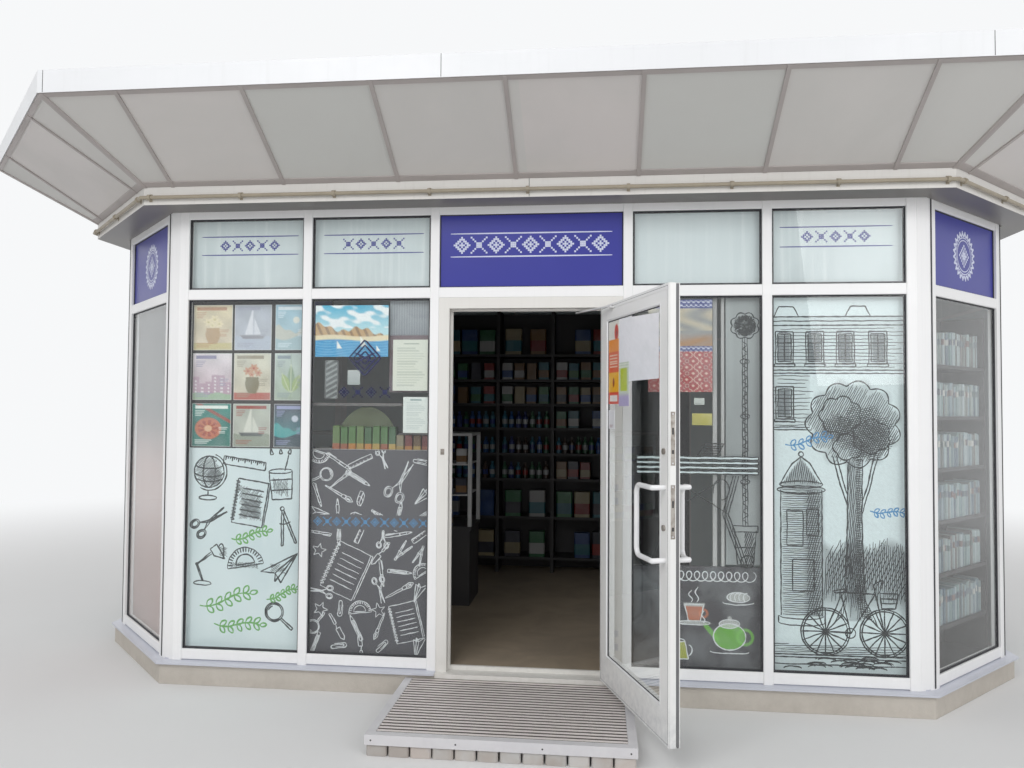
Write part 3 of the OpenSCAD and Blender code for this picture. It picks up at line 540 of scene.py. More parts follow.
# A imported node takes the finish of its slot, but for these
nodeFinish = {"sill_long": "sill_white", "sill_corners": "sill_white"}
for part in frame["record"]["subparts"]:
    mesh = frame["nodes"][part["node"]].data
    mesh.materials.clear()
    mesh.materials.append(finishes[nodeFinish.get(part["node"], part["material_slot"])])
print("materials made")

# Glazing gaskets: a rubber strip in front of the glass and a wider one behind it
gasket = {"width": 0.006, "spacer": 0.013, "front": 0.006, "back": 0.010, "edge": 0.001, "gap": 0.0002}


def paneList(wall):
    # left, right, foot and head of each pane
    levels = (plan["glassFoot"], plan["glassHead"]), (plan["topFoot"], plan["topHead"])
    panes = [bay + level for bay in baysOf(wall) for level in levels]
    if wall == 0:
        panes.append((-plan["doorBay"] / 2, plan["doorBay"] / 2) + levels[1])
    return panes


def makeGaskets():
    wide, spacer, edge, gap = (gasket[key] for key in ("width", "spacer", "edge", "gap"))
    face, back = plan["glassFront"], plan["glassBack"]
    out, deep = face - gasket["front"], back + gasket["back"]
    front = [[0.0, out], [wide * 0.6, out], [wide, face - edge], [wide, face - gap], [0.0, face - gap]]
    behind = [[0.0, back + gap], [spacer, back + gap], [spacer, back + edge], [spacer * 0.6, deep],
              [0.0, deep]]
    for name, walls in (("front", [0]), ("corners", [1, 3, 5, 7]), ("sides", [2, 6]), ("back", [4])):
        parts = [(wall, frameRings(paneList(wall), profile))
                 for wall in walls for profile in (front, behind)]
        newPiece("gaskets_" + name, onWalls(parts), "gasket_rubber", inPlace)


makeGaskets()
print("gaskets made")

# Line drawings: a motif is a list of lines, each an array of [across, up] points


def arc(x, y, wide, high=None, start=0.0, end=360.0, count=25):
    # points of an ellipse round (x, y) between two angles
    turn = np.radians(np.linspace(start, end, count))
    return np.stack([x + wide * np.cos(turn), y + (wide if high is None else high) * np.sin(turn)], -1)


def line(*corners):
    return np.array(corners, float)


def ring(*corners):
    return np.array(corners + corners[:1], float)


def plank(left, right, foot, head):
    return ring((left, foot), (right, foot), (right, head), (left, head))


def ticks(start, end, count, foot, head):
    # short upright lines at even distances
    return [line((x, foot), (x, head)) for x in np.linspace(start, end, count)]


def spin(turn):
    # turns the rows of points that it is multiplied to
    angle = math.radians(turn)
    return np.array([[math.cos(angle), math.sin(angle)], [-math.sin(angle), math.cos(angle)]])


def moved(motif, place=(0.0, 0.0), size=1.0, turn=0.0):
    # a motif scaled, turned and moved
    return [path * size @ spin(turn) + place for path in motif]


def evenly(path, step):
    # the same line with points at even distances along it
    run = np.concatenate([[0.0], np.cumsum(np.linalg.norm(np.diff(path, axis=0), axis=1))])
    along = np.linspace(0.0, run[-1], max(3, int(run[-1] / step) + 1))
    return np.stack([np.interp(along, run, path[:, k]) for k in (0, 1)], -1)


def sideways(path):
    # unit steps across a line at each of its points
    way = np.gradient(path, axis=0)
    way /= np.maximum(np.linalg.norm(way, axis=1, keepdims=True), 1e-9)
    return np.stack([-way[:, 1], way[:, 0]], -1)


def handDrawn(motif, passes=2, wobble=0.0014, step=0.007):
    # goes over each line as a hand would: every pass is pushed aside by two waves along it
    drawn = []
    for path in motif:
        path = evenly(path, step)
        across, run = sideways(path), np.arange(len(path)) * step
        for _ in range(passes):
            phase = dice.uniform(0, 2 * math.pi, 2)
            push = wobble * (np.sin(run * 38 + phase[0]) + 0.6 * np.sin(run * 105 + phase[1]))
            drawn.append(path + push[:, None] * across)
    return drawn


def within(paths, box):
    # the stretches of the lines inside a box of left, right, foot and head
    kept = []
    for path in paths:
        inside = ((path > (box[0], box[2])) & (path < (box[1], box[3]))).all(axis=1)
        cuts = np.flatnonzero(np.diff(inside.astype(int))) + 1
        runs = zip(np.split(path, cuts), np.split(inside, cuts))
        kept += [run for run, here in runs if here[0] and len(run) > 2]
    return kept


def hatch(outline, spacing, turn=0.0, broken=0.0):
    # parallel lines inside an outline: it is turned, cut by level lines, and the stretches
    # between its crossings are turned back; broken leaves out the ends of some
    shape = outline @ spin(turn).T
    after = np.roll(shape, -1, axis=0)
    lines = []
    for level in np.arange(shape[:, 1].min() + spacing / 2, shape[:, 1].max(), spacing):
        cut = (shape[:, 1] > level) != (after[:, 1] > level)
        a, b = shape[cut], after[cut]
        x = np.sort(a[:, 0] + (level - a[:, 1]) / (b[:, 1] - a[:, 1]) * (b[:, 0] - a[:, 0]))
        for left, right in zip(x[::2], x[1::2]):
            trim = dice.uniform(0, broken, 2) * (right - left)
            tilt = dice.uniform(-0.15, 0.15) * spacing
            lines.append(line((left + trim[0], level - tilt), (right - trim[1], level + tilt)) @ spin(turn))
    return lines


def ribbons(paths, width, depth, rise=0.0008):
    # a low ridge along each line: its edges lie on the surface to both sides of the line, its
    # crest stands rise above it, and it thins out to its ends
    parts = []
    for path in paths:
        share = np.linspace(0.0, 1.0, len(path))
        half = width / 2 * (0.5 + 0.5 * np.sqrt(np.sin(math.pi * share).clip(0, 1)))
        side = sideways(path) * half[:, None]
        flat = np.stack([path + side, path, path - side], 1)
        level = np.broadcast_to(np.array([depth, depth - rise, depth])[None, :, None], flat.shape[:2] + (1,))
        points = np.concatenate([flat[..., :1], level, flat[..., 1:]], -1)
        parts.append((points, stripQuads(len(path), 3)[:, ::-1]))
    return gather(parts)


def rowSpots(middle, z, pitch, count):
    return [(middle + (k - (count - 1) / 2) * pitch, z) for k in range(count)]


def stitches(spots, cell, depth, reach, rings, crossEvery=0):
    # cross-stitch motifs of low square boxes: a lozenge fills the cells at the given numbers of
    # steps from its middle, and every so many motifs a diagonal cross takes its place
    i, k = (grid.ravel() for grid in np.meshgrid(np.arange(-reach, reach + 1), np.arange(-reach, reach + 1)))
    far = np.abs(i) + np.abs(k)
    lozenge, cross = np.isin(far, rings), (np.abs(i) == np.abs(k)) | (far == 1)
    corners = np.stack([i - 0.47, np.zeros(len(i)), k - 0.47], -1) * cell
    lows = [corners[cross if crossEvery and n % crossEvery == 1 else lozenge] + [x, depth - 0.0006, z]
            for n, (x, z) in enumerate(spots)]
    lows = np.concatenate(lows)
    return boxes(lows, lows + [0.94 * cell, 0.0007, 0.94 * cell])


# Motifs about one unit long, lying along X round the origin


motifs = {
    "pencil": [plank(-0.5, 0.28, -0.06, 0.06), line((-0.38, -0.06), (-0.38, 0.06)),
               line((-0.34, -0.06), (-0.34, 0.06)), line((-0.34, 0.02), (0.28, 0.02)),
               line((-0.34, -0.02), (0.28, -0.02)), line((0.28, -0.06), (0.5, 0.0), (0.28, 0.06)),
               line((0.42, -0.022), (0.42, 0.022))],
    "pen": [ring((-0.5, -0.035), (0.3, -0.045), (0.3, 0.045), (-0.5, 0.035)),
            line((0.3, -0.045), (0.44, -0.015), (0.5, 0), (0.44, 0.015), (0.3, 0.045)),
            line((-0.45, 0.035), (-0.45, 0.075), (-0.12, 0.065)), line((0.05, -0.042), (0.05, 0.042))],
    "brush": [ring((-0.5, -0.012), (0.1, -0.035), (0.1, 0.035), (-0.5, 0.012)),
              ring((0.1, -0.04), (0.24, -0.055), (0.24, 0.055), (0.1, 0.04)),
              line((0.24, -0.055), (0.36, -0.075), (0.5, 0.0), (0.36, 0.075), (0.24, 0.055)),
              line((0.26, 0.02), (0.42, 0.01)), line((0.26, -0.02), (0.42, -0.012))],
    "clip": [np.concatenate([line((-0.25, 0.13), (0.32, 0.13)), arc(0.32, 0.0, 0.13, None, 90, -90, 11),
                             line((0.32, -0.13), (-0.38, -0.13)),
                             arc(-0.38, -0.035, 0.095, None, 270, 90, 11),
                             line((-0.38, 0.06), (0.24, 0.06)), arc(0.24, 0.0, 0.06, None, 90, -90, 9),
                             line((0.24, -0.06), (-0.2, -0.06))])],
    "ruler": [plank(-0.5, 0.5, -0.09, 0.09), *ticks(-0.45, 0.45, 19, 0.04, 0.09),
              *ticks(-0.45, 0.45, 7, 0.0, 0.09)],
    "scissors": [*(arc(-0.36, y, wide, high) for wide, high in ((0.13, 0.10), (0.09, 0.065))
                   for y in (0.15, -0.15)),
                 ring((-0.25, 0.11), (-0.02, 0.03), (0.5, -0.07), (-0.02, -0.03)),
                 ring((-0.25, -0.11), (-0.02, -0.03), (0.5, 0.07), (-0.02, 0.03)),
                 arc(0.0, 0.0, 0.018, count=9)],
    "notebook": [plank(-0.36, 0.36, -0.5, 0.5), line((0.40, -0.46), (0.40, 0.5), (0.36, 0.5)),
                 *(arc(-0.36, y, 0.05, 0.022, -120, 150, 9) for y in np.linspace(-0.42, 0.42, 12)),
                 *(line((-0.22, y), (0.28, y)) for y in np.linspace(-0.3, 0.3, 6))],
    "eraser": [plank(-0.5, 0.28, -0.2, 0.02), line((-0.5, 0.02), (-0.3, 0.2), (0.48, 0.2), (0.28, 0.02)),
               line((0.48, 0.2), (0.48, -0.02), (0.28, -0.2)), line((-0.1, -0.2), (-0.1, 0.02), (0.1, 0.2))],
    "protractor": [arc(0, -0.2, 0.5, None, 0, 180), line((-0.5, -0.2), (0.5, -0.2)),
                   arc(0, -0.14, 0.26, None, 0, 180), line((-0.26, -0.14), (0.26, -0.14)),
                   *(line((0.38 * math.cos(t), 0.38 * math.sin(t) - 0.2),
                          (0.5 * math.cos(t), 0.5 * math.sin(t) - 0.2))
                     for t in np.radians(np.arange(10, 180, 10)))],
    "magnifier": [arc(-0.16, 0.12, 0.28), arc(-0.16, 0.12, 0.235),
                  ring((0.03, -0.10), (0.07, -0.06), (0.42, -0.34), (0.37, -0.40)),
                  arc(-0.18, 0.14, 0.16, None, 100, 170, 9)],
    "star": [np.where(np.arange(11) % 2 == 0, 0.4, 0.17)[:, None] * arc(0, 0, 1, None, 90, 450, 11)],
    "plane": [ring((-0.5, 0.02), (0.5, 0.28), (-0.05, -0.34), (-0.14, -0.08)),
              line((0.5, 0.28), (-0.14, -0.08)), line((-0.14, -0.08), (-0.2, -0.28), (-0.05, -0.18)),
              line((0.5, 0.28), (-0.2, -0.28))],
    "pin": [arc(-0.2, 0.0, 0.05, 0.16), ring((-0.2, 0.12), (0.02, 0.07), (0.02, -0.07), (-0.2, -0.12)),
            arc(0.06, 0.0, 0.04, 0.13), line((0.1, 0.0), (0.45, 0.0))],
    "globe": [arc(0, 0.1, 0.34), arc(0, 0.1, 0.14, 0.34), arc(0, 0.1, 0.34, 0.11, 180, 360),
              arc(0, 0.24, 0.30, 0.07, 180, 360), arc(0, -0.03, 0.30, 0.08, 180, 360),
              arc(0.0, 0.1, 0.40, None, -120, 70), line((-0.02, -0.30), (-0.02, -0.42)),
              arc(-0.02, -0.46, 0.2, 0.05)],
    "lamp": [arc(-0.12, -0.46, 0.22, 0.05), line((-0.12, -0.42), (-0.28, -0.02), (0.08, 0.26)),
             line((-0.09, -0.42), (-0.25, -0.02), (0.11, 0.23)), arc(-0.265, -0.02, 0.03, count=9),
             ring((0.06, 0.34), (0.16, 0.18), (0.42, 0.12), (0.22, 0.46)),
             arc(0.33, 0.28, 0.07, 0.19, -60, 150, 12)],
    "knife": [ring((-0.5, -0.03), (-0.1, -0.045), (-0.1, 0.045), (-0.5, 0.03)),
              line((-0.1, 0.0), (0.06, -0.04)),
              ring((0.06, -0.08), (0.4, -0.07), (0.5, 0.0), (0.4, 0.07), (0.06, 0.08))],
    "compass": [arc(0, 0.42, 0.05, count=11),
                ring((-0.03, 0.38), (-0.2, -0.46), (-0.15, -0.46), (0.03, 0.36)),
                ring((0.03, 0.38), (0.2, -0.46), (0.15, -0.46), (-0.03, 0.36)),
                arc(0, 0.34, 0.3, 0.3, -118, -62, 9)],
}


def mugMotif():
    # a mug with three pencils, of which only what stands over the rim is drawn
    stems = [part for x, turn in ((-0.14, 100), (0.02, 88), (0.17, 74))
             for part in moved(motifs["pencil"], (x, 0.30), 0.62, turn)]
    return [line((-0.26, 0.10), (-0.22, -0.5), (0.22, -0.5), (0.26, 0.10)), arc(0, 0.10, 0.26, 0.05),
            line((-0.25, -0.08), (0.25, -0.08)), line((-0.235, -0.3), (0.235, -0.3)),
            *(part[part[:, 1] > 0.1] for part in stems if (part[:, 1] > 0.1).sum() > 1)]


def sprigMotif():
    # a curved stem with a leaf to each side at every joint
    x = np.linspace(-0.5, 0.5, 21)
    leaf = [np.concatenate([arc(0.5, -0.35, 0.61, None, 145, 35, 9),
                            arc(0.5, 0.35, 0.61, None, -35, -145, 9)])]
    joints = [(x, 0.08 * math.sin(x * 5)) for x in np.linspace(-0.36, 0.36, 5)]
    leaves = [moved(leaf, joint, 0.17, turn)[0] for joint in joints for turn in (48, -48)]
    return [np.stack([x, 0.08 * np.sin(x * 5)], -1)] + leaves + moved(leaf, (0.48, 0.06), 0.15, 10)


motifs.update({"mug": mugMotif(), "sprig": sprigMotif()})


def laidOut(items, left, grow=1.0):
    # the lines of [motif, across, up, size, turn] items of a pane
    return [path for motif, x, z, size, turn in items
            for path in moved(motifs[motif], (left + x, z), grow * size, turn)]


# Films behind the glazing: their depth and thickness, how far they reach behind the bars, how far
# a line runs on there, and the heights at which one gives way to another
filmPlan = {"depth": 0.0615, "thick": 0.003, "lap": 0.020, "past": 0.012, "split": 1.438, "menuHead": 0.787,
            "greyLeft": 1.146, "greyFoot": 0.800}


def paneFilm(wall, bay, foot, head, left=None):
    # the panel behind one pane, or behind a stretch of it
    a, b = baysOf(wall)[bay]
    a = a - filmPlan["lap"] if left is None else left
    return wall, boxes([a, filmPlan["depth"], foot],
                       [b + filmPlan["lap"], filmPlan["depth"] + filmPlan["thick"], head])


def makeFilms():
    lap, split = filmPlan["lap"], filmPlan["split"]
    foot, head = plan["glassFoot"] - lap, plan["glassHead"] + lap
    mint = [(wall, bay, foot, head)
            for wall, bay in ((0, 3), (4, 0), (4, 2), (4, 4), (2, 0), (6, 1), (3, 0), (5, 0))]
    chalk = [(wall, bay, foot, head) for wall, bay in ((4, 1), (4, 3), (2, 1), (6, 0))]
    light = [(wall, bay, plan["topFoot"] - lap, plan["topHead"] + lap) for wall in (0, 2, 4, 6)
             for bay in range(len(baysOf(wall)))]
    for name, finish, sheets in (
            ("films_mint", "film_mint", [(0, 0, foot, split)] + mint),
            ("films_chalk", "film_chalk", [(0, 1, foot, split), (0, 2, foot, filmPlan["menuHead"])] + chalk),
            ("film_grey_panel", "film_grey", [(0, 2, filmPlan["greyFoot"], head, filmPlan["greyLeft"])]),
            # the corner film carries a painted reflection
            ("films_toplight", "film_toplight", light), ("film_corner_painted_reflection", "film_warm", [(7, 0, foot, head)])):
        newPiece(name, onWalls([paneFilm(*sheet) for sheet in sheets]), finish,
                 inPlace)


def drawOn(name, paths, ink, width, depth=filmPlan["depth"]):
    # lines drawn on the front's films
    newPiece(name, ribbons(paths, width, depth), ink)


def paneBox(bay, head=plan["glassHead"] + filmPlan["past"]):
    # what shows of a front pane, a little wider so that a line runs on behind the bars
    a, b = baysOf(0)[bay]
    return a - filmPlan["past"], b + filmPlan["past"], plan["glassFoot"] - filmPlan["past"], head


# Pencil drawings in the left bay, and what is shaded: [across, up, half width, half height, turn]
pencilPlan = {"width": 0.0066, "shade": 0.0042, "sprig": 0.0072, "grow": 1.15}
pencilItems = [("globe", 0.13, 1.26, 0.25, 0), ("ruler", 0.36, 1.345, 0.24, -8),
               ("mug", 0.595, 1.27, 0.25, 4), ("scissors", 0.14, 0.985, 0.22, 35),
               ("notebook", 0.40, 1.10, 0.24, -9), ("compass", 0.63, 0.965, 0.22, 12),
               ("lamp", 0.13, 0.72, 0.23, 0), ("protractor", 0.37, 0.755, 0.2, 10),
               ("plane", 0.60, 0.70, 0.22, 12), ("magnifier", 0.60, 0.41, 0.18, 0)]
pencilShades = [(0.40, 1.10, 0.075, 0.11, 60), (0.40, 1.06, 0.07, 0.06, -30), (0.595, 1.20, 0.05, 0.06, 75),
                (0.23, 0.795, 0.03, 0.03, 20), (0.37, 0.715, 0.09, 0.02, 60), (0.585, 0.70, 0.05, 0.03, 35)]
sprigItems = [("sprig", 0.40, 0.90, 0.24, 6), ("sprig", 0.25, 0.50, 0.34, 8),
              ("sprig", 0.33, 0.35, 0.30, -6), ("sprig", 0.61, 0.545, 0.2, 14)]


def makePencil():
    left, box = baysOf(0)[0][0], paneBox(0, filmPlan["split"])
    items = handDrawn(laidOut(pencilItems, left, pencilPlan["grow"]), 3, 0.0016)
    drawOn("pencil_drawings", within(items, box), "pencil_ink", pencilPlan["width"])
    shade = hatch(arc(left + 0.13, 1.288, 0.096), 0.0075, 40, 0.15)
    shade += hatch(arc(left + 0.165, 1.26, 0.05), 0.008, -30)
    for x, z, wide, high, turn in pencilShades:
        shade += hatch(plank(left + x - wide, left + x + wide, z - high, z + high), 0.008, turn, 0.25)
    drawOn("pencil_shading", within(handDrawn(shade, 1, 0.001), box), "pencil_ink", pencilPlan["shade"])
    sprigs = within(handDrawn(laidOut(sprigItems, left), 3, 0.0018), box)
    drawOn("green_sprigs", sprigs, "green_ink", pencilPlan["sprig"])


# Chalk drawings thrown about at all angles: [motif, size], and the large ones as [motif, across,
# up, size, turn] in the pane
chalkPlan = {"columns": 6, "rows": 11, "play": (0.34, 0.66), "vary": (0.86, 1.1), "width": 0.0041,
             "band": (0.955, 1.04), "cell": 0.0078, "motifs": 12, "inset": 0.02, "clear": 0.50}
chalkMotifs = [("pencil", 0.19), ("clip", 0.12), ("brush", 0.20), ("star", 0.11), ("pen", 0.18),
               ("protractor", 0.14), ("ruler", 0.17), ("pin", 0.12), ("scissors", 0.15), ("eraser", 0.10),
               ("knife", 0.18), ("magnifier", 0.15), ("pencil", 0.17), ("plane", 0.14), ("pen", 0.17),
               ("compass", 0.14)]
chalkLarge = [("notebook", 0.22, 0.70, 0.30, -24), ("notebook", 0.60, 0.40, 0.23, 14),
              ("scissors", 0.56, 1.25, 0.26, 62)]


def scatter(box, left):
    # one motif in each cell of a loose grid, left out where a large one lies
    columns, rows = chalkPlan["columns"], chalkPlan["rows"]
    count = columns * rows
    order = dice.permutation(count)
    x = box[0] + (order % columns + dice.uniform(*chalkPlan["play"], count)) / columns * (box[1] - box[0])
    z = box[2] + (order // columns + dice.uniform(*chalkPlan["play"], count)) / rows * (box[3] - box[2])
    turns, vary = dice.uniform(0, 360, count), dice.uniform(*chalkPlan["vary"], count)
    drawn = laidOut(chalkLarge, left)
    for k in range(count):
        motif, size = chalkMotifs[k % len(chalkMotifs)]
        if all(math.hypot(x[k] - left - across, z[k] - up) > chalkPlan["clear"] * large + size / 4
               for _, across, up, large, _ in chalkLarge):
            drawn += moved(motifs[motif], (x[k], z[k]), size * vary[k], turns[k])
    return drawn


def makeChalk():
    box, (a, b), (low, high) = paneBox(1, filmPlan["split"]), baysOf(0)[1], chalkPlan["band"]
    drawn = handDrawn(scatter(box, a), 2, 0.0013)
    kept = within(drawn, box[:3] + (low,)) + within(drawn, (box[0], box[1], high, box[3]))
    drawOn("chalk_drawings", kept, "chalk_white", chalkPlan["width"])
    count = chalkPlan["motifs"]
    spots = rowSpots((a + b) / 2, (low + high) / 2, (b - a - chalkPlan["inset"]) / count, count)
    band = stitches(spots, chalkPlan["cell"], filmPlan["depth"], 3, (3, 1, 0), 2)
    newPiece("chalk_band", band, "chalk_blue")


# The ink drawing of the right bay, from the pane's left edge: a poster pillar, a tree, a hedge, a
# bicycle and a house front
inkPlan = {"outline": 0.0068, "fine": 0.0050, "sprig": 0.0066, "lift": 0.0008, "crown": (0.46, 1.62),
           "pillar": (0.17, 0.52, 1.24), "wheel": 0.135, "hubs": (0.30, 0.625, 0.435),
           "windows": ((0.08, 2.06), (0.25, 2.06), (0.42, 2.06), (0.60, 2.06), (0.08, 1.74)),
           "sprigs": (("sprig", 0.20, 1.52, 0.24, 4), ("sprig", 0.645, 1.12, 0.19, -10))}


def cloudOutline(x, z, reach, lobes, depth):
    # a circle whose radius swells at each lobe
    turn = np.linspace(0, 2 * math.pi, 16 * lobes)
    grown = reach * (1 + depth * np.abs(np.sin(turn * lobes / 2)))
    return np.stack([x + grown * np.cos(turn), z + grown * np.sin(turn) * 0.94], -1)


def windowLines(x, z, wide, high):
    # a house window: frame, reveal, bars and sill; wide and high are halves
    return [plank(x - wide, x + wide, z - high, z + high),
            plank(x - wide - 0.012, x + wide + 0.012, z - high - 0.012, z + high + 0.014),
            line((x, z - high), (x, z + high)), line((x - wide, z + high / 3), (x + wide, z + high / 3)),
            plank(x - wide - 0.02, x + wide + 0.02, z - high - 0.03, z - high - 0.014)]


def pillarLines(foot, head):
    # a round pillar with a rim, a domed cap, a base and three bills, round x = 0
    cap = line((-0.12, head + 0.03), (-0.05, head + 0.15), (0, head + 0.19),
               (0.05, head + 0.15), (0.12, head + 0.03))
    return [line((-0.115, head), (-0.115, foot)), line((0.115, head), (0.115, foot)),
            arc(0, head, 0.135, 0.022), arc(0, head + 0.03, 0.12, 0.02), cap, arc(0, head + 0.205, 0.014),
            arc(0, foot, 0.125, 0.02, 180, 360), arc(0, foot - 0.035, 0.13, 0.022, 180, 360),
            line((-0.13, foot), (-0.13, foot - 0.04)), line((0.13, foot), (0.13, foot - 0.04)),
            plank(-0.08, 0.01, 0.92, 1.12), plank(0.03, 0.095, 0.98, 1.13), plank(-0.05, 0.07, 0.66, 0.84)]


def bikeLines():
    # two wheels with their spokes, the frame, the handlebar, the saddle and a basket
    wheel, (back, front, z) = inkPlan["wheel"], inkPlan["hubs"]
    lines = []
    for x in (back, front):
        lines += [arc(x, z, wheel, count=41), arc(x, z, wheel - 0.012, count=41), arc(x, z, 0.014, count=9)]
        lines += [line((x, z), (x + wheel * math.cos(t), z + wheel * math.sin(t)))
                  for t in np.radians(np.arange(0, 360, 22.5))]
    seat, crank, neck, stem = (0.385, 0.66), (0.44, 0.43), (0.575, 0.655), (0.565, 0.71)
    return lines + [line((back, z), crank, neck, seat, crank), line((back, z), (0.39, 0.645)),
                    line((front, z), neck, stem), line(stem, (0.62, 0.735), (0.60, 0.69)),
                    arc(0.44, 0.43, 0.028, count=13),
                    ring((0.345, 0.668), (0.425, 0.682), (0.415, 0.664), (0.36, 0.655)),
                    ring((0.60, 0.66), (0.70, 0.66), (0.685, 0.575), (0.61, 0.575)),
                    line((0.605, 0.63), (0.695, 0.63)), line((0.608, 0.605), (0.69, 0.605))]


def streetOutlines():
    (px, foot, head), (cx, cz) = inkPlan["pillar"], inkPlan["crown"]
    house = [line((-0.01, z), (wide, z))
             for z, wide in ((2.24, 0.76), (2.215, 0.76), (2.19, 0.76), (1.93, 0.76),
                             (1.912, 0.76), (1.60, 0.22), (1.585, 0.23))]
    house += [line((x, 2.24), (x + 0.03, 2.30), (x + 0.11, 2.30), (x + 0.14, 2.24)) for x in (0.02, 0.42)]
    house += [path for x, z in inkPlan["windows"] for path in windowLines(x, z, 0.0375, 0.08)]
    crown = [cloudOutline(cx + x, cz + z, reach, lobes, depth) for x, z, reach, lobes, depth in (
        (0, 0, 0.23, 11, 0.16), (-0.07, 0.05, 0.10, 7, 0.2), (0.10, -0.07, 0.09, 6, 0.2),
        (-0.03, -0.13, 0.07, 5, 0.2))]
    trunk = [line((-0.03, cz - 0.22), (-0.035, 1.05), (-0.05, 0.62), (-0.11, 0.48)),
             line((0.05, cz - 0.2), (0.045, 1.05), (0.06, 0.62), (0.13, 0.47)),
             line((-0.033, 1.15), (-0.075, 1.28), (-0.115, 1.44)),
             line((-0.031, 1.21), (-0.060, 1.30), (-0.092, 1.44)),
             line((0.047, 1.11), (0.090, 1.26), (0.138, 1.45)),
             line((0.046, 1.17), (0.078, 1.27), (0.116, 1.45))]
    ground = [line((-0.01, z), (0.75, z + dz)) for z, dz in ((0.285, 0.0), (0.245, 0.004), (0.30, 0.002))]
    ground += [arc(x, z, 0.05, 0.012, 0, 180, 9)
               for x, z in zip(dice.uniform(0.02, 0.72, 26), dice.uniform(0.22, 0.285, 26))]
    pillar = moved(pillarLines(foot, head), (px, 0))
    return house + pillar + crown + moved(trunk, (cx, 0)) + bikeLines() + ground


def streetShading():
    # hatching of the crown, the trunk, the pillar, the hedge and the house
    (px, foot, head), (cx, cz) = inkPlan["pillar"], inkPlan["crown"]
    trunk = ring((cx - 0.03, cz - 0.2), (cx - 0.035, 1.05), (cx - 0.05, 0.62), (cx - 0.09, 0.51),
                 (cx + 0.11, 0.50), (cx + 0.06, 0.62), (cx + 0.045, 1.05), (cx + 0.05, cz - 0.2))
    darkSide = ring((cx + 0.01, cz - 0.2), (cx + 0.005, 0.62), (cx + 0.04, 0.51), (cx + 0.11, 0.50),
                    (cx + 0.06, 0.62), (cx + 0.045, 1.05), (cx + 0.05, cz - 0.2))
    cap = ring((px - 0.11, head + 0.03), (px, head + 0.19), (px + 0.11, head + 0.03))
    hedge = ring((0.29, 0.60), (0.31, 0.90), (0.40, 0.97), (0.52, 0.93), (0.66, 0.99),
                 (0.76, 0.94), (0.76, 0.60))
    return [path for shape in (
        (cloudOutline(cx, cz, 0.23, 11, 0.12), 0.011, 62, 0.08),
        (cloudOutline(cx + 0.06, cz - 0.05, 0.15, 8, 0.2), 0.011, 14, 0.1),
        (cloudOutline(cx + 0.09, cz - 0.08, 0.09, 8, 0.2), 0.011, -48, 0.1),
        (cloudOutline(cx - 0.09, cz - 0.02, 0.08, 6, 0.2), 0.010, -70, 0.15),
        (trunk, 0.010, 84, 0.15), (darkSide, 0.010, 8, 0.15),
        (plank(px - 0.112, px + 0.112, foot, head), 0.0125, 0, 0.06),
        (plank(px + 0.03, px + 0.112, foot, head), 0.0125, 74, 0.06), (cap, 0.011, 80, 0.1),
        (hedge, 0.0105, 86, 0.22), (hedge, 0.021, 64, 0.25),
        (plank(-0.01, 0.76, 0.305, 0.36), 0.012, 2, 0.1),
        (plank(-0.01, 0.24, 1.60, 1.91), 0.022, 0, 0.2), (plank(-0.01, 0.76, 1.94, 2.18), 0.020, 0, 0.1))
        for path in hatch(*shape)]


def makeInkDrawing():
    left, box, level = baysOf(0)[3][0], paneBox(3), filmPlan["depth"] - inkPlan["lift"]
    outlines = handDrawn(moved(streetOutlines(), (left, 0)), 2, 0.0013)
    drawOn("ink_outlines", within(outlines, box), "black_ink", inkPlan["outline"], level)
    shading = handDrawn(moved(streetShading(), (left, 0)), 1, 0.0012, 0.010)
    drawOn("ink_shading", within(shading, box), "black_ink", inkPlan["fine"], level)
    sprigs = handDrawn(laidOut(inkPlan["sprigs"], left), 2, 0.0014)
    drawOn("blue_sprigs", sprigs, "chalk_blue", inkPlan["sprig"], level)


# Bay beside the door: a clipped tree and a bench in line; the tree is at [across, foot, head], the
# bench from left to right at the height of its top
parkPlan = {"tree": (1.256, 0.80, 2.27), "treeWidth": 0.0056, "right": 1.325, "top": 1.425,
            "benchWidth": 0.0060, "slat": 0.028}


def treeLines(x, foot, head):
    # a clipped tree in a pot: a ball of leaves on a stem that a ribbon winds round
    middle, pot = head - 0.08, foot + 0.20
    ball = [cloudOutline(x, middle, 0.070, 8, 0.2), cloudOutline(x + 0.012, middle - 0.005, 0.042, 6, 0.2)]
    stem = [line((x + side, head - 0.15), (x + side, foot + 0.22)) for side in (-0.014, 0.0, 0.014)]
    wound = np.stack([x + 0.017 * (-1.0) ** np.arange(46), np.linspace(foot + 0.24, head - 0.17, 46)], -1)
    knots = [arc(x, foot + up, 0.026, 0.014) for up in (0.48, 0.86, 1.18)]
    lines = ball + stem + [wound] + knots
    lines += [line((x - 0.062, pot), (x - 0.045, foot), (x + 0.045, foot), (x + 0.062, pot)),
              plank(x - 0.07, x + 0.07, pot - 0.01, pot + 0.025),
              line((x - 0.05, pot - 0.10), (x + 0.05, pot - 0.10))]
    lines += hatch(plank(x - 0.005, x + 0.05, foot, foot + 0.19), 0.010, 70)
    for turn, away in [(t, 0.045) for t in np.linspace(0, 330, 12)] + [(t, 0.018) for t in (40, 160, 280)]:
        t = math.radians(turn)
        leaf = cloudOutline(x + away * math.cos(t), middle + away * math.sin(t), 0.019, 4, 0.2)
        lines += hatch(leaf, 0.007, turn)
    return lines


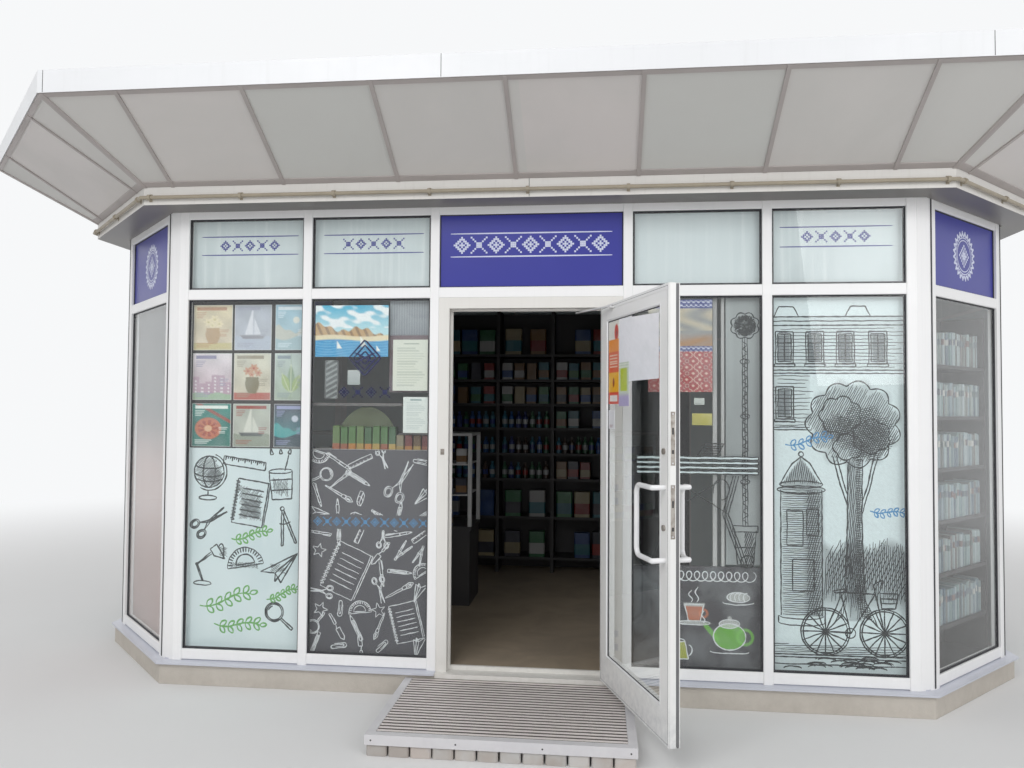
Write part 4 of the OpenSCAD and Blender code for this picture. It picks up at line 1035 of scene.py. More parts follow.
def benchLines(left, right, top):
    # a bench seen from the front: slats, two iron legs with crossed braces, and a folded paper on it
    wide, slat = right - left, parkPlan["slat"]
    lines = [plank(left, right, top - slat * k - 0.016, top - slat * k) for k in range(4)]
    for side, x in ((1, left + 0.16 * wide), (-1, right - 0.16 * wide)):
        lines += [line((x + side * k, top - 0.11), (x + side * (0.06 + k), top - 0.33),
                       (x - side * (0.05 - k), top - 0.63)) for k in (0.0, 0.016, 0.032)]
        lines += [arc(x + side * 0.10, top - 0.19, 0.045, 0.06, -90, 200),
                  arc(x - side * 0.05, top - 0.60, 0.04, 0.035, 20, 320),
                  line((x + side * 0.06, top - 0.33), (x + side * 0.36, top - 0.14))]
    low, high = top + 0.006, top + 0.075
    lines.append(ring((left + 0.5 * wide, low), (left + 0.66 * wide, low), (left + 0.72 * wide, high),
                      (left + 0.56 * wide, high)))
    return lines + [line((left + (0.515 + s) * wide, low + 0.9 * s),
                         (left + (0.655 + s) * wide, low + 0.9 * s))
                    for s in (0.015, 0.03, 0.045, 0.06)]


def makeParkDrawing():
    a, b = baysOf(0)[2]
    box = (a, b + filmPlan["past"], filmPlan["menuHead"], plan["glassHead"])
    left, right, top, glass = a + 0.03, parkPlan["right"], parkPlan["top"], plan["glassBack"] + 0.0012
    tree = within(handDrawn(treeLines(*parkPlan["tree"]), 2, 0.0012), box)
    drawOn("tree_drawing", tree, "black_ink", parkPlan["treeWidth"])
    bench = within(handDrawn(benchLines(left, right, top), 2, 0.0012), box)
    drawOn("bench_drawing", bench, "black_ink", parkPlan["benchWidth"], glass)
    tops = [top - parkPlan["slat"] * k for k in range(4)]
    slats = boxes([[left, glass + 0.0002, z - 0.018] for z in tops],
                  [[right, glass + 0.001, z + 0.002] for z in tops])
    newPiece("bench_slats", slats, "film_mint")


# A sticker on the outer face of the second pane: nested lozenges, a cross and a row of crosses
stickerPlan = {"place": (-1.01, 2.0), "rings": (0.100, 0.070, 0.038), "cross": 0.062, "width": 0.010,
               "row": 1.79, "pitch": 0.085, "cell": 0.0095}


def makeSticker():
    (x, z), level, r = stickerPlan["place"], plan["glassFront"] - 0.0001, stickerPlan["cross"]
    paths = [ring((x - r, z), (x, z - r * 1.1), (x + r, z), (x, z + r * 1.1)) for r in stickerPlan["rings"]]
    paths += [line((x - r, z - side * r * 0.5), (x + r, z + side * r * 0.5)) for side in (1, -1)]
    lozenge = ribbons([evenly(path, 0.02) for path in paths], stickerPlan["width"], level, 0.0006)
    spots = rowSpots(x, stickerPlan["row"], stickerPlan["pitch"], 4)
    row = stitches(spots, stickerPlan["cell"], level, 3, (3, 1, 0), 2)
    newPiece("glass_sticker", gather([lozenge, row]), "line_navy")


makeFilms()
makePencil()
makeChalk()
makeInkDrawing()
makeParkDrawing()
makeSticker()
print("films and window drawings made")

# Printed sheets: a grid whose point colours are painted by formulas of u (across) and v (up); a
# layer is a screen colour and its mask


def sheetGrid(rect, front, thick, columns, rows):
    # a thin sheet: its outer ring of points is pushed back to make the edges, and one face
    # closes the back; a negative thickness makes one whose printed side faces the room, with u
    # running the other way; returns points [along, inwards, up], quads, back face, u and v
    u = np.clip((np.arange(columns + 3) - 1) / columns, 0, 1)
    v = np.clip((np.arange(rows + 3) - 1) / rows, 0, 1)
    uu, vv = np.meshgrid(u, v)
    edge = np.zeros(uu.shape, bool)
    edge[[0, -1]] = edge[:, [0, -1]] = True
    points = np.stack([rect[0] + uu * (rect[1] - rect[0]), np.where(edge, front + thick, front),
                       rect[2] + vv * (rect[3] - rect[2])], -1)
    index = np.arange(uu.size).reshape(uu.shape)
    rim = np.concatenate([index[:, 0], index[-1, 1:], index[-2::-1, -1], index[0, -2:0:-1]])
    quads, rim = stripQuads(rows + 3, columns + 3)[:, ::-1], rim[None]
    if thick < 0:
        quads, rim, uu = quads[:, ::-1], rim[:, ::-1], 1 - uu
    return points.reshape(-1, 3), quads, rim, uu.ravel(), vv.ravel()


def printPiece(name, sheets, front, thick, place=onFront, body="kiosk"):
    # sheets are (rect, columns, rows, painter); front is their depth, or one for each sheet
    points, quads, backs, tones, start = [], [], [], [], 0
    for (rect, columns, rows, painter), depth in zip(sheets, np.broadcast_to(front, len(sheets))):
        part, faces, back, u, v = sheetGrid(rect, depth, thick, columns, rows)
        points.append(part)
        quads.append(faces + start)
        backs.append(back + start)
        tones.append(painter(u, v).clip(0, 1))
        start += len(part)
    shape = np.concatenate(points), [np.concatenate(quads)] + backs
    newPiece(name, shape, "printed_paper", place, body, np.concatenate(tones))


def light(colour):
    return np.array(paint(*colour)[:3])


def even(u, colour):
    # one screen colour all over
    return np.ones((len(u), 3)) * light(colour)


def between(first, second, share):
    # from one screen colour to another
    return light(first) + (light(second) - light(first)) * share[:, None]


def layered(tone, *layers):
    # paints each layer's colour over the tone where its mask is 1
    for colour, mask in layers:
        tone = tone + (light(colour) - tone) * np.asarray(mask, float)[:, None]
    return tone


def softly(value, edge=0.02):
    # 0 below zero and 1 above it, with a soft step
    return np.clip(value / edge + 0.5, 0, 1)


def speckle(u, amount):
    return 1 + dice.normal(0, amount, (len(u), 1))


def combed(value, share):
    # the middle part of every whole step
    return np.abs(np.mod(value, 1) - 0.5) < share


def bar(u, v, middle, half, left, right):
    return (np.abs(v - middle) < half) & (u > left) & (u < right)


def textRows(u, v, low, high, rows, left, right):
    # thin bars of uneven length in place of printed lines
    level = (v - low) / (high - low) * rows
    reach = left + (right - left) * (0.62 + 0.38 * np.sin(np.floor(level) * 12.9898) ** 2)
    return combed(level, 0.22) & (v > low) & (v < high) & (u > left) & (u < reach)


# Pictures of the covers: each returns its layers, with the colours of its look


def hillsPart(u, v, look):
    # a sun over two waved lines of hills
    return [(look["light"], softly(0.10 - np.hypot(u - 0.64, (v - 0.66) * 1.35), 0.03)),
            (look["second"], softly(0.46 + 0.07 * np.sin(u * 6.5 + 1) + 0.03 * np.sin(u * 17) - v)),
            (look["accent"], softly(0.28 + 0.06 * np.sin(u * 5 + 3.4) - v))]


def vasePart(u, v, look):
    # a bulging vase on a table, with round flowers of six lobes
    half = 0.10 + 0.09 * np.sin((v - 0.14) * 7.5).clip(0, 1) + 0.02 * (v > 0.46)
    vase = softly(half - np.abs(u - 0.5)) * (v > 0.13) * (v < 0.5)
    parts = [(look["second"], softly(0.16 - v)), (look["accent"], vase)]
    for x, y, r in ((0.38, 0.62, 0.10), (0.54, 0.68, 0.11), (0.66, 0.58, 0.09), (0.48, 0.55, 0.07)):
        away, turn = np.hypot(u - x, (v - y) * 1.35), np.arctan2((v - y) * 1.35, u - x)
        parts += [(look["light"], softly(r * (1 + 0.25 * np.cos(6 * turn)) - away)),
                  (look["second"], softly(r * 0.3 - away))]
    return parts


def sailPart(u, v, look):
    # two three-cornered sails over a hull on a waved sea
    left = softly(np.minimum(u - 0.28 - (v - 0.34) * 0.35, np.minimum(0.50 - u, v - 0.34)))
    right = softly(np.minimum(np.minimum(0.72 - (v - 0.34) * 0.5 - u, u - 0.53), v - 0.34))
    hull = softly(np.minimum(0.33 - v, np.minimum(v - 0.25, 0.27 - np.abs(u - 0.5) + (v - 0.25))))
    return [(look["second"], softly(0.30 + 0.012 * np.sin(u * 30) - v)), (look["light"], left),
            (look["light"], right * 0.85), (look["accent"], hull)]


def leafPart(u, v, look):
    # three leaves from one foot, each widest halfway and with a thin rib
    parts = []
    for x, y, lean, reach in ((0.5, 0.16, 0.0, 0.6), (0.46, 0.18, -0.55, 0.46), (0.54, 0.18, 0.6, 0.44)):
        along = (u - x) * math.sin(lean) + (v - y) * math.cos(lean)
        across = np.abs((u - x) * math.cos(lean) - (v - y) * math.sin(lean))
        wide = 0.11 * np.sin((along / reach).clip(0, 1) * math.pi)
        parts += [(look["second"] if lean else look["accent"], softly(wide - across)),
                  (look["light"], softly(0.008 - across, 0.012) * (along > 0) * (along < reach))]
    return parts


def housesPart(u, v, look):
    # six house fronts of different heights with rows of windows, and a low bank before them
    roof = 0.34 + 0.22 * np.sin(np.floor(u * 6) * 2.4 + 1) ** 2
    panes = combed(u * 6, 0.16) & combed(v * 14, 0.25) & (v < roof - 0.05) & (v > 0.16)
    return [(look["second"], softly(roof - v)), (look["accent"], softly(0.14 + 0.02 * np.sin(u * 12) - v)),
            (look["light"], panes)]


def ringsPart(u, v, look):
    # a disc with a fan of nine rays in it and a slanting stroke over it
    across, up = u - 0.42, (v - 0.42) * 1.35
    away, fan = np.hypot(across, up), np.cos(9 * np.arctan2(up, across)) > 0
    return [(look["accent"], softly(0.34 - away)), (look["second"], softly(0.26 - away) * fan),
            (look["light"], softly(0.10 - away)),
            (look["second"], softly(0.04 - np.abs(v - 0.82 + 0.5 * (u - 0.5))))]


# The nine covers on the board, row by row from the top: picture, haze and reach of the title bar,
# and the colours of head, foot, accent, second shape, lights and title
coverPlan = {"columns": [(-2.13, -1.875), (-1.86, -1.62), (-1.595, -1.385)], "grid": (44, 54),
             "rows": [(2.05, 2.334), (1.738, 2.03), (1.447, 1.715)], "front": 0.0606, "thick": 0.0012,
             "colours": ("top", "foot", "accent", "second", "light", "title")}
coverLooks = [
    (vasePart, 0.15, 0.85, (0.86, 0.80, 0.66), (0.84, 0.78, 0.70), (0.72, 0.58, 0.42), (0.80, 0.74, 0.50),
     (0.92, 0.86, 0.72), (0.74, 0.52, 0.34)),
    (sailPart, 0.15, 0.7, (0.66, 0.68, 0.73), (0.76, 0.77, 0.82), (0.52, 0.50, 0.54), (0.70, 0.73, 0.80),
     (0.90, 0.90, 0.93), (0.62, 0.62, 0.70)),
    (hillsPart, 0.15, 0.8, (0.55, 0.72, 0.80), (0.72, 0.82, 0.85), (0.62, 0.74, 0.78), (0.78, 0.77, 0.72),
     (0.92, 0.90, 0.84), (0.88, 0.92, 0.95)),
    (housesPart, 0.08, 0.6, (0.88, 0.85, 0.87), (0.78, 0.66, 0.70), (0.60, 0.72, 0.58), (0.72, 0.58, 0.66),
     (0.90, 0.88, 0.88), (0.56, 0.54, 0.66)),
    (vasePart, 0.04, 0.8, (0.83, 0.82, 0.76), (0.80, 0.76, 0.68), (0.46, 0.42, 0.30), (0.70, 0.32, 0.28),
     (0.78, 0.56, 0.44), (0.62, 0.58, 0.50)),
    (leafPart, 0.10, 0.5, (0.74, 0.79, 0.77), (0.62, 0.68, 0.60), (0.50, 0.60, 0.46), (0.62, 0.70, 0.42),
     (0.84, 0.86, 0.74), (0.50, 0.56, 0.60)),
    (ringsPart, 0.0, 0.92, (0.12, 0.50, 0.46), (0.16, 0.44, 0.40), (0.78, 0.42, 0.28), (0.62, 0.26, 0.20),
     (0.88, 0.72, 0.58), (0.92, 0.94, 0.92)),
    (sailPart, 0.0, 0.9, (0.70, 0.72, 0.68), (0.76, 0.76, 0.72), (0.30, 0.32, 0.33), (0.55, 0.58, 0.52),
     (0.86, 0.86, 0.82), (0.62, 0.30, 0.26)),
    (hillsPart, 0.03, 0.95, (0.13, 0.12, 0.27), (0.10, 0.50, 0.52), (0.12, 0.11, 0.22), (0.20, 0.62, 0.62),
     (0.84, 0.86, 0.92), (0.60, 0.62, 0.78)),
]


def coverTone(seed, picture, haze, reach, *colours):
    # a shaded ground, the picture, a title bar, three blocks of rows, a pale edge and some haze
    look = dict(zip(coverPlan["colours"], colours))

    def painter(u, v):
        tone = between(look["foot"], look["top"], v)
        tone = tone * (1 + 0.12 * np.sin(u * 7 + 2 * v + seed) * np.sin(v * 9 + seed))[:, None]
        tone = layered(tone, *((colour, 0.9 * mask) for colour, mask in picture(u, v, look)))
        rows = [(look["title"], textRows(u, v, *block) * 0.75)
                for block in ((0.05, 0.17, 3, 0.08, 0.6), (0.70, 0.86, 4, 0.08, 0.34),
                              (0.30, 0.46, 4, 0.70, 0.93))]
        edge = np.minimum(np.minimum(u, 1 - u), np.minimum(v, 1 - v)) < 0.012
        tone = layered(tone, (look["title"], bar(u, v, 0.915, 0.035, 0.08, reach)), *rows,
                       ((0.93, 0.93, 0.92), edge * 0.7), ((0.80, 0.83, 0.84), np.full(len(u), haze)))
        return tone * speckle(u, 0.03)
    return painter


def makeCovers():
    sheets = [(coverPlan["columns"][k % 3] + coverPlan["rows"][k // 3], *coverPlan["grid"],
               coverTone(float(k), *look)) for k, look in enumerate(coverLooks)]
    printPiece("magazine_covers", sheets, coverPlan["front"], coverPlan["thick"])


# Grey washes under the street drawing: its sheet's thickness and grid, and its paper and wash
washPlan = {"ahead": 0.0001, "thick": 0.0006, "grid": (90, 260), "paper": (0.84, 0.89, 0.90),
            "wash": (0.20, 0.24, 0.27)}


def washTone(u, v):
    # each mask follows one of the drawing's shapes: crown, trunk, pillar, cap, hedge, house, road
    # and windows; what they leave clear is multiplied
    left, right, foot, head = paneBox(3)
    x, z = left + u * (right - left) - baysOf(0)[3][0], foot + v * (head - foot)
    (cx, cz), (px, low, top) = inkPlan["crown"], inkPlan["pillar"]
    beside, onPillar = np.abs(x - px), (z > low) * (z < top)
    lobes = 0.245 + 0.02 * np.sin(11 * np.arctan2(z - cz, x - cx))
    shades = [(0.30, softly(lobes - np.hypot(x - cx, z - cz), 0.03)),
              (0.35, softly(0.12 - np.hypot(x - cx - 0.07, z - cz + 0.07), 0.03)),
              (0.25, softly(0.07 - np.hypot(x - cx + 0.10, z - cz + 0.03), 0.02)),
              (0.45, softly(0.04 - np.abs(x - cx - 0.005), 0.02) * (z > 0.5) * (z < cz - 0.2)),
              (0.22, softly(0.115 - beside, 0.01) * onPillar),
              (0.45, softly(0.05 - np.abs(x - px - 0.07), 0.03) * onPillar),
              (0.55, softly((0.11 - beside) * 1.5 - (z - top - 0.02), 0.02) * (z > top)),
              (0.55, softly(0.93 + 0.03 * np.sin(x * 31) - z, 0.05) * softly(z - 0.58, 0.1)
               * softly(x - 0.29, 0.02)),
              (0.18, softly(np.where(z > 1.92, 0.8, 0.22) - x, 0.01) * (z > 1.59) * (z < 2.24)),
              (0.25, softly(0.36 - z, 0.08))]
    shades += [(0.8, (np.abs(x - wx) < 0.034) * (np.abs(z - wz) < 0.075)) for wx, wz in inkPlan["windows"]]
    clear = np.prod([1 - share * mask for share, mask in shades], axis=0)
    return layered(even(u, washPlan["paper"]), (washPlan["wash"], 1 - clear)) * speckle(u, 0.03)


def makeWash():
    # the washed film lies on the mint one
    printPiece("ink_wash", [(paneBox(3), *washPlan["grid"], washTone)],
               filmPlan["depth"] - inkPlan["lift"] + washPlan["ahead"], washPlan["thick"])


# A tea set in coloured chalk on the menu panel: its sheet, its pieces' places and its garland's
# ends, height, reach and number of loops
menuPlan = {"grid": (156, 116), "short": 0.002, "front": 0.0007, "thick": 0.0006, "lineFront": 0.0008,
            "lineWidth": 0.0054, "pot": (1.165, 0.385), "cup": (0.965, 0.515), "bun": (1.215, 0.612),
            "jug": (0.885, 0.300), "loops": (0.80, 1.30, 0.728, 0.028, 11), "board": (0.275, 0.265, 0.285),
            "white": (0.84, 0.85, 0.84), "green": (0.47, 0.80, 0.22), "orange": (0.86, 0.50, 0.33),
            "yellow": (0.78, 0.80, 0.30)}


def nearSegment(x, z, a, b):
    # distance from the stretch between two points
    wide, high = b[0] - a[0], b[1] - a[1]
    along = (((x - a[0]) * wide + (z - a[1]) * high) / (wide ** 2 + high ** 2)).clip(0, 1)
    return np.hypot(x - a[0] - along * wide, z - a[1] - along * high)


def menuTone(u, v):
    # filled chalk, rubbed unevenly: a green pot with spout, handle, white lid and knob, an orange
    # cup with its white rim, handle and saucer, a white bun and a yellow-green jug
    left, right, foot, head = paneBox(2, filmPlan["menuHead"] - menuPlan["short"])
    x, z = left + u * (right - left), foot + v * (head - foot)
    (px, pz), (cx, cz), (bx, bz), (jx, jz) = (menuPlan[k] for k in ("pot", "cup", "bun", "jug"))
    cupSide = 0.044 + 0.25 * (z - cz) - np.abs(x - cx)
    shapes = [("green", 0.072 * (1 - np.hypot((x - px) / 0.090, (z - pz) / 0.074))),
              ("green", 0.013 - nearSegment(x, z, (px - 0.07, pz - 0.015), (px - 0.135, pz + 0.06))),
              ("green", 0.008 - np.abs(np.hypot(x - px - 0.088, z - pz) - 0.042)),
              ("white", 0.022 * (1 - np.hypot((x - px) / 0.056, (z - pz - 0.074) / 0.024))),
              ("white", 0.012 - np.hypot(x - px, z - pz - 0.106)),
              ("orange", np.minimum(cupSide, 0.042 - np.abs(z - cz))),
              ("white", np.minimum(cupSide + 0.004, 0.010 - np.abs(z - cz - 0.048))),
              ("orange", 0.006 - np.abs(np.hypot(x - cx - 0.052, z - cz) - 0.022)),
              ("white", 0.008 * (1 - np.hypot((x - cx) / 0.085, (z - cz + 0.056) / 0.010))),
              ("white", 0.013 * (1 - np.hypot((x - bx) / 0.062, (z - bz) / 0.026))),
              ("yellow", np.minimum(0.036 - 0.2 * (z - jz) - np.abs(x - jx), 0.05 - np.abs(z - jz)))]
    rubbed = 0.62 + 0.38 * np.sin(x * 420 + z * 260) * np.sin(z * 380 - x * 90)
    tone = even(u, menuPlan["board"]) * (1 + 0.10 * np.sin(x * 9 + 2) * np.sin(z * 13))[:, None]
    tone = layered(tone, *((menuPlan[colour], softly(value, 0.005) * rubbed) for colour, value in shapes))
    return tone * speckle(u, 0.04)


def menuLines():
    # chalk outlines, steam, and a garland of loops across the head
    (px, pz), (cx, cz), (bx, bz), (jx, jz) = (menuPlan[k] for k in ("pot", "cup", "bun", "jug"))
    lines = [arc(px, pz, 0.092, 0.076), arc(px, pz + 0.074, 0.058, 0.025),
             arc(px, pz - 0.084, 0.11, 0.012, 180, 360),
             line((cx - 0.034, cz - 0.045), (cx - 0.055, cz + 0.05), (cx + 0.055, cz + 0.05),
                  (cx + 0.034, cz - 0.045)),
             arc(cx, cz - 0.056, 0.088, 0.012), arc(bx, bz, 0.064, 0.028),
             arc(bx, bz - 0.03, 0.09, 0.012, 170, 370)]
    lines += [arc(bx + x, bz, 0.016, 0.024, 60, 240, 9) for x in (-0.03, -0.005, 0.02, 0.045)]
    lines += [line((jx - 0.026, jz + 0.055), (jx - 0.046, jz - 0.052), (jx + 0.046, jz - 0.052),
                   (jx + 0.026, jz + 0.055)),
              arc(jx, jz + 0.055, 0.026, 0.008), arc(jx + 0.045, jz, 0.022, 0.032, -80, 80, 13)]
    rise = np.linspace(0, 1, 15)
    for x, z, high in ((cx - 0.02, cz + 0.062, 0.07), (cx + 0.015, cz + 0.062, 0.09),
                       (px - 0.15, pz + 0.075, 0.07)):
        lines.append(np.stack([x + 0.010 * np.sin(rise * 7), z + rise * high], -1))
    left, right, z, reach, count = menuPlan["loops"]
    turn = np.linspace(0, 2 * math.pi * count, 20 * count)
    along = left + (right - left) * turn / turn[-1] - reach * 0.9 * np.sin(turn)
    return lines + [np.stack([along, z + reach * np.cos(turn)], -1)]


def makeMenu():
    head, depth = filmPlan["menuHead"], filmPlan["depth"]
    sheet = (paneBox(2, head - menuPlan["short"]), *menuPlan["grid"], menuTone)
    printPiece("menu_chalk", [sheet], depth - menuPlan["front"], menuPlan["thick"])
    lines = within(handDrawn(menuLines(), 2, 0.0014), paneBox(2, head))
    drawOn("menu_lines", lines, "chalk_white", menuPlan["lineWidth"], depth - menuPlan["lineFront"])


def posterTone(u, v):
    # a bay under summer clouds: sky, far cliffs with dark clefts, sand, a glittering sea and sails
    cloud = np.sin(u * 9 + 2) * np.sin(v * 15 + u * 4) + 0.35
    cloud += 0.6 * np.sin(u * 23 + v * 11) * np.sin(v * 31)
    cliff = 0.60 + 0.05 * np.sin(u * 11 + 1) + 0.03 * np.sin(u * 37) - 0.14 * u
    glitter = softly(np.sin(v * 120 + 3 * np.sin(u * 9)) - 0.6, 0.4) * (v < 0.30) * 0.6
    tone = layered(
        between((0.72, 0.87, 0.90), (0.20, 0.66, 0.80), ((v - 0.5) * 2).clip(0, 1)),
        ((0.93, 0.95, 0.96), softly(cloud - 0.45, 0.5) * (v > 0.55)),
        ((0.74, 0.60, 0.42), softly(cliff - v) * (v > 0.34)),
        ((0.55, 0.42, 0.28), softly(np.sin(u * 61 + v * 20) - 0.4, 0.3) * (v < cliff) * (v > 0.36)),
        ((0.90, 0.84, 0.70), softly(0.05 - np.abs(v - 0.36 - 0.02 * np.sin(u * 7)))),
        ((0.10, 0.56, 0.78), softly(0.32 + 0.02 * np.sin(u * 6) - v)), ((0.45, 0.76, 0.88), glitter))
    for x, y, reach in ((0.30, 0.16, 0.12), (0.62, 0.20, 0.16), (0.84, 0.11, 0.09)):
        sail = np.minimum(np.minimum(v - y, u - x + 0.001), reach - (v - y) * 0.8 - (u - x) * 1.7)
        tone = layered(tone, ((0.95, 0.95, 0.93), softly(sail, 0.01)))
    return tone * speckle(u, 0.03)


def noticeTone(colour, ink):
    # a notice: faint rows and a heading bar on a pale sheet
    def painter(u, v):
        tone = layered(even(u, colour), (ink, textRows(u, v, 0.08, 0.86, 15, 0.12, 0.92) * 0.35),
                       (ink, bar(u, v, 0.92, 0.012, 0.3, 0.75)))
        return tone * (0.97 + 0.03 * v)[:, None] * speckle(u, 0.01)
    return painter


def plainTone(colour, second, waves=0.0):
    # a plain sheet that shades towards its foot, with upright waves where wanted
    def painter(u, v):
        return between(second, colour, v) * (1 + 0.16 * np.sin(u * waves)[:, None]) * speckle(u, 0.015)
    return painter


def lozengeTone(u, v):
    # a folk pattern: stepped lozenges on red, a picture of soft waves in the upper half, and a
    # checked blue band over each
    a, b = np.abs(np.mod(u * 5, 1) - 0.5) * 2, np.abs(np.mod(v * 7.5, 1) - 0.5) * 2
    step = np.abs(np.round(a * 5) / 5 + np.round(b * 5) / 5 - 1)
    check = (np.mod(np.floor(u * 26) + np.floor(v * 88), 2) > 0) & combed(v * 22, 0.3)
    band, upper = (v > 0.90) | ((v > 0.435) & (v < 0.50)), (v >= 0.50) & (v <= 0.90)
    pale = 0.5 + 0.5 * np.sin(u * 11 + 3 * np.sin(v * 17))
    tone = layered(
        even(u, (0.66, 0.22, 0.23)),
        ((0.86, 0.76, 0.70), (step < 0.11) | ((a + b) > 1.75) | ((a + b) < 0.25)),
        ((0.45, 0.13, 0.15), np.abs(a + b - 1) < 0.04), ((0.24, 0.27, 0.52), band),
        ((0.78, 0.79, 0.86), band & check), ((0.56, 0.56, 0.56), upper),
        ((0.74, 0.70, 0.62), upper * pale * (v > 0.66)),
        ((0.66, 0.48, 0.30), upper * softly(0.60 - v, 0.08) * (0.6 + 0.4 * pale)))
    return tone * speckle(u, 0.04)


def leafletTone(u, v):
    # slanting pale bars on a dark sheet
    bars = (np.mod(v * 7 - u * 1.4, 1) < 0.42) & (np.abs(u - 0.5) < 0.40)
    return layered(even(u, (0.27, 0.28, 0.29)), ((0.66, 0.69, 0.68), bars * 0.6)) * speckle(u, 0.05)


# Sheets hung on the glass, and boards on the films' depth: left, right, foot and head, columns,
# rows and painter of each
windowSheets = {
    "poster": ((-1.325, -0.866, 2.006, 2.322), 96, 64, posterTone),
    "notice": ((-0.836, -0.621, 1.80, 2.11), 30, 62, noticeTone((0.86, 0.87, 0.82), (0.55, 0.60, 0.55))),
    "smallNotice": ((-0.769, -0.618, 1.545, 1.762), 26, 44,
                    noticeTone((0.87, 0.89, 0.87), (0.50, 0.58, 0.58))),
    "lozenges": ((0.70, 1.066, 1.80, 2.341), 78, 120, lozengeTone),
    "card": ((0.961, 1.02, 1.726, 1.765), 12, 10, noticeTone((0.78, 0.80, 0.78), (0.45, 0.47, 0.47))),
    "yellowCard": ((0.949, 1.064, 1.607, 1.675), 12, 10, plainTone((0.76, 0.72, 0.33), (0.70, 0.67, 0.30))),
    "leaflet": ((-1.262, -1.176, 1.750, 1.985), 26, 62, leafletTone),
    "whiteCard": ((-1.118, -1.040, 1.835, 1.925), 12, 12, plainTone((0.70, 0.72, 0.72), (0.62, 0.65, 0.65))),
}
windowBoards = {
    "lower": ((-0.866, -0.590, 1.790, 2.139), 12, 12, plainTone((0.42, 0.32, 0.35), (0.36, 0.29, 0.33))),
    "upper": ((-0.866, -0.590, 2.140, 2.380), 90, 8,
              plainTone((0.60, 0.62, 0.64), (0.50, 0.52, 0.55), 110.0)),
}
sheetPlan = {"gap": 0.0003, "thick": 0.0009, "boardThick": 0.003}


def makeWindowSheets():
    glass = plan["glassBack"] + sheetPlan["gap"]
    printPiece("window_sheets", list(windowSheets.values()), glass, sheetPlan["thick"])
    printPiece("window_boards", list(windowBoards.values()), filmPlan["depth"], sheetPlan["boardThick"])


makeWash()
makeMenu()
makeCovers()
makeWindowSheets()
print("covers and notices made")

# Door leaf: a point is [across the shut leaf, inwards from its outer face, up], swung open
# about the hinge line
leafPlan = {"pin": (0.4825, -0.012), "open": 109.0, "left": -0.480, "right": 0.480, "foot": 0.140,
            "head": 2.290, "thick": 0.055, "stile": 0.100, "topRail": 0.085, "footRail": 0.160,
            # line is the place, width and rise of the grey line of painted shade that stands for a groove
            "glass": (0.040, 0.046), "line": (0.012, 0.0018, 0.0004),
            "locks": ((1.560, 1.498), (1.220, 1.140)), "lockDepth": 0.035, "screw": (0.0042, 0.001),
            "screwAway": 0.115}


def onLeaf(points):
    turned = (points[..., :2] - leafPlan["pin"]) @ spin(leafPlan["open"]) + leafPlan["pin"]
    return onFront(np.concatenate([turned, points[..., 2:]], -1))


def leafPiece(name, shape, finish):
    newPiece(name, shape, finish, onLeaf, "door_leaf")


def makeLeafTrim():
    # gaskets and bead round the glass, the seals of the closing edge and the foot, and a fine grey line
    # round both faces, painted shade that stands for a groove
    left, right, foot, head = (leafPlan[key] for key in ("left", "right", "foot", "head"))
    (front, back), thick = leafPlan["glass"], leafPlan["thick"]
    pane = [(left + leafPlan["stile"], right - leafPlan["stile"], foot + leafPlan["footRail"],
             head - leafPlan["topRail"])]
    outer = [[0.0, front - 0.008], [0.004, front - 0.008], [0.006, front - 0.0012], [0.006, front - 0.0002],
             [0.0, front - 0.0002]]
    bead = [[0.0, back + 0.0002], [0.010, back + 0.0002], [0.010, back + 0.003], [0.005, thick + 0.0015],
            [0.0, thick + 0.0015]]
    rubber = [[0.0101, back + 0.0002], [0.015, back + 0.0002], [0.0142, back + 0.0024],
              [0.0101, back + 0.0028]]
    leafPiece("leaf_outer_gasket", frameRings(pane, outer), "gasket_rubber")
    leafPiece("leaf_beads", frameRings(pane, bead), "handle_white")
    leafPiece("leaf_inner_gasket", frameRings(pane, rubber), "gasket_rubber")
    edge = boxes([[left + 0.0005, 0.0045, foot + 0.004], [left - 0.0004, 0.0085, foot + 0.004]],
                 [[left + 0.0078, 0.0195, head - 0.004], [left + 0.0006, 0.0155, head - 0.004]])
    leafPiece("leaf_edge_seal", edge, "seal_grey")
    below = boxes([left + 0.004, 0.0008, foot - 0.0012], [right - 0.004, 0.012, foot - 0.0001])
    leafPiece("leaf_foot_seal", below, "gasket_rubber")
    # painted shade: a fine grey line stands for a groove
    a, wide, proud = leafPlan["line"]
    lines = [frameRings([(left, right, foot, head)],
                        [[a, y], [a + wide, y], [a + wide, y + proud], [a, y + proud]])
             for y in (thick + 0.0001, -0.0001 - proud)]
    leafPiece("leaf_groove_painted_shade", gather(lines), "seal_grey")


def screwHeads(places, radius, rise):
    # low domed heads: rings of points round each place, the last drawn together to its middle
    turns, rings = 12, np.array([[1.0, 0.0], [0.92, 0.6], [0.5, 0.95], [0.0, 1.0]])
    turn, (away, up) = np.linspace(0, 2 * math.pi, turns, endpoint=False), rings.T[..., None]
    disc = np.stack(np.broadcast_arrays(away * np.cos(turn) * radius, -up * rise,
                                        away * np.sin(turn) * radius), -1).reshape(-1, 3)
    faces = stripQuads(len(rings), turns, closeColumns=True)
    return disc + np.asarray(places)[:, None], repeatFaces(faces, len(places), len(disc))


# Openings in the edge plates, from the lock's or the cylinder's height: half width and half
# height of the bolt's, how far it is up, and the cylinder's
# the openings are drawn as flat dark boxes of painted shade
lockPlan = {"bolt": (0.0045, 0.016), "boltUp": 0.035, "cylinder": (0.005, 0.009), "sunk": 0.0004,
            "proud": 0.0006}


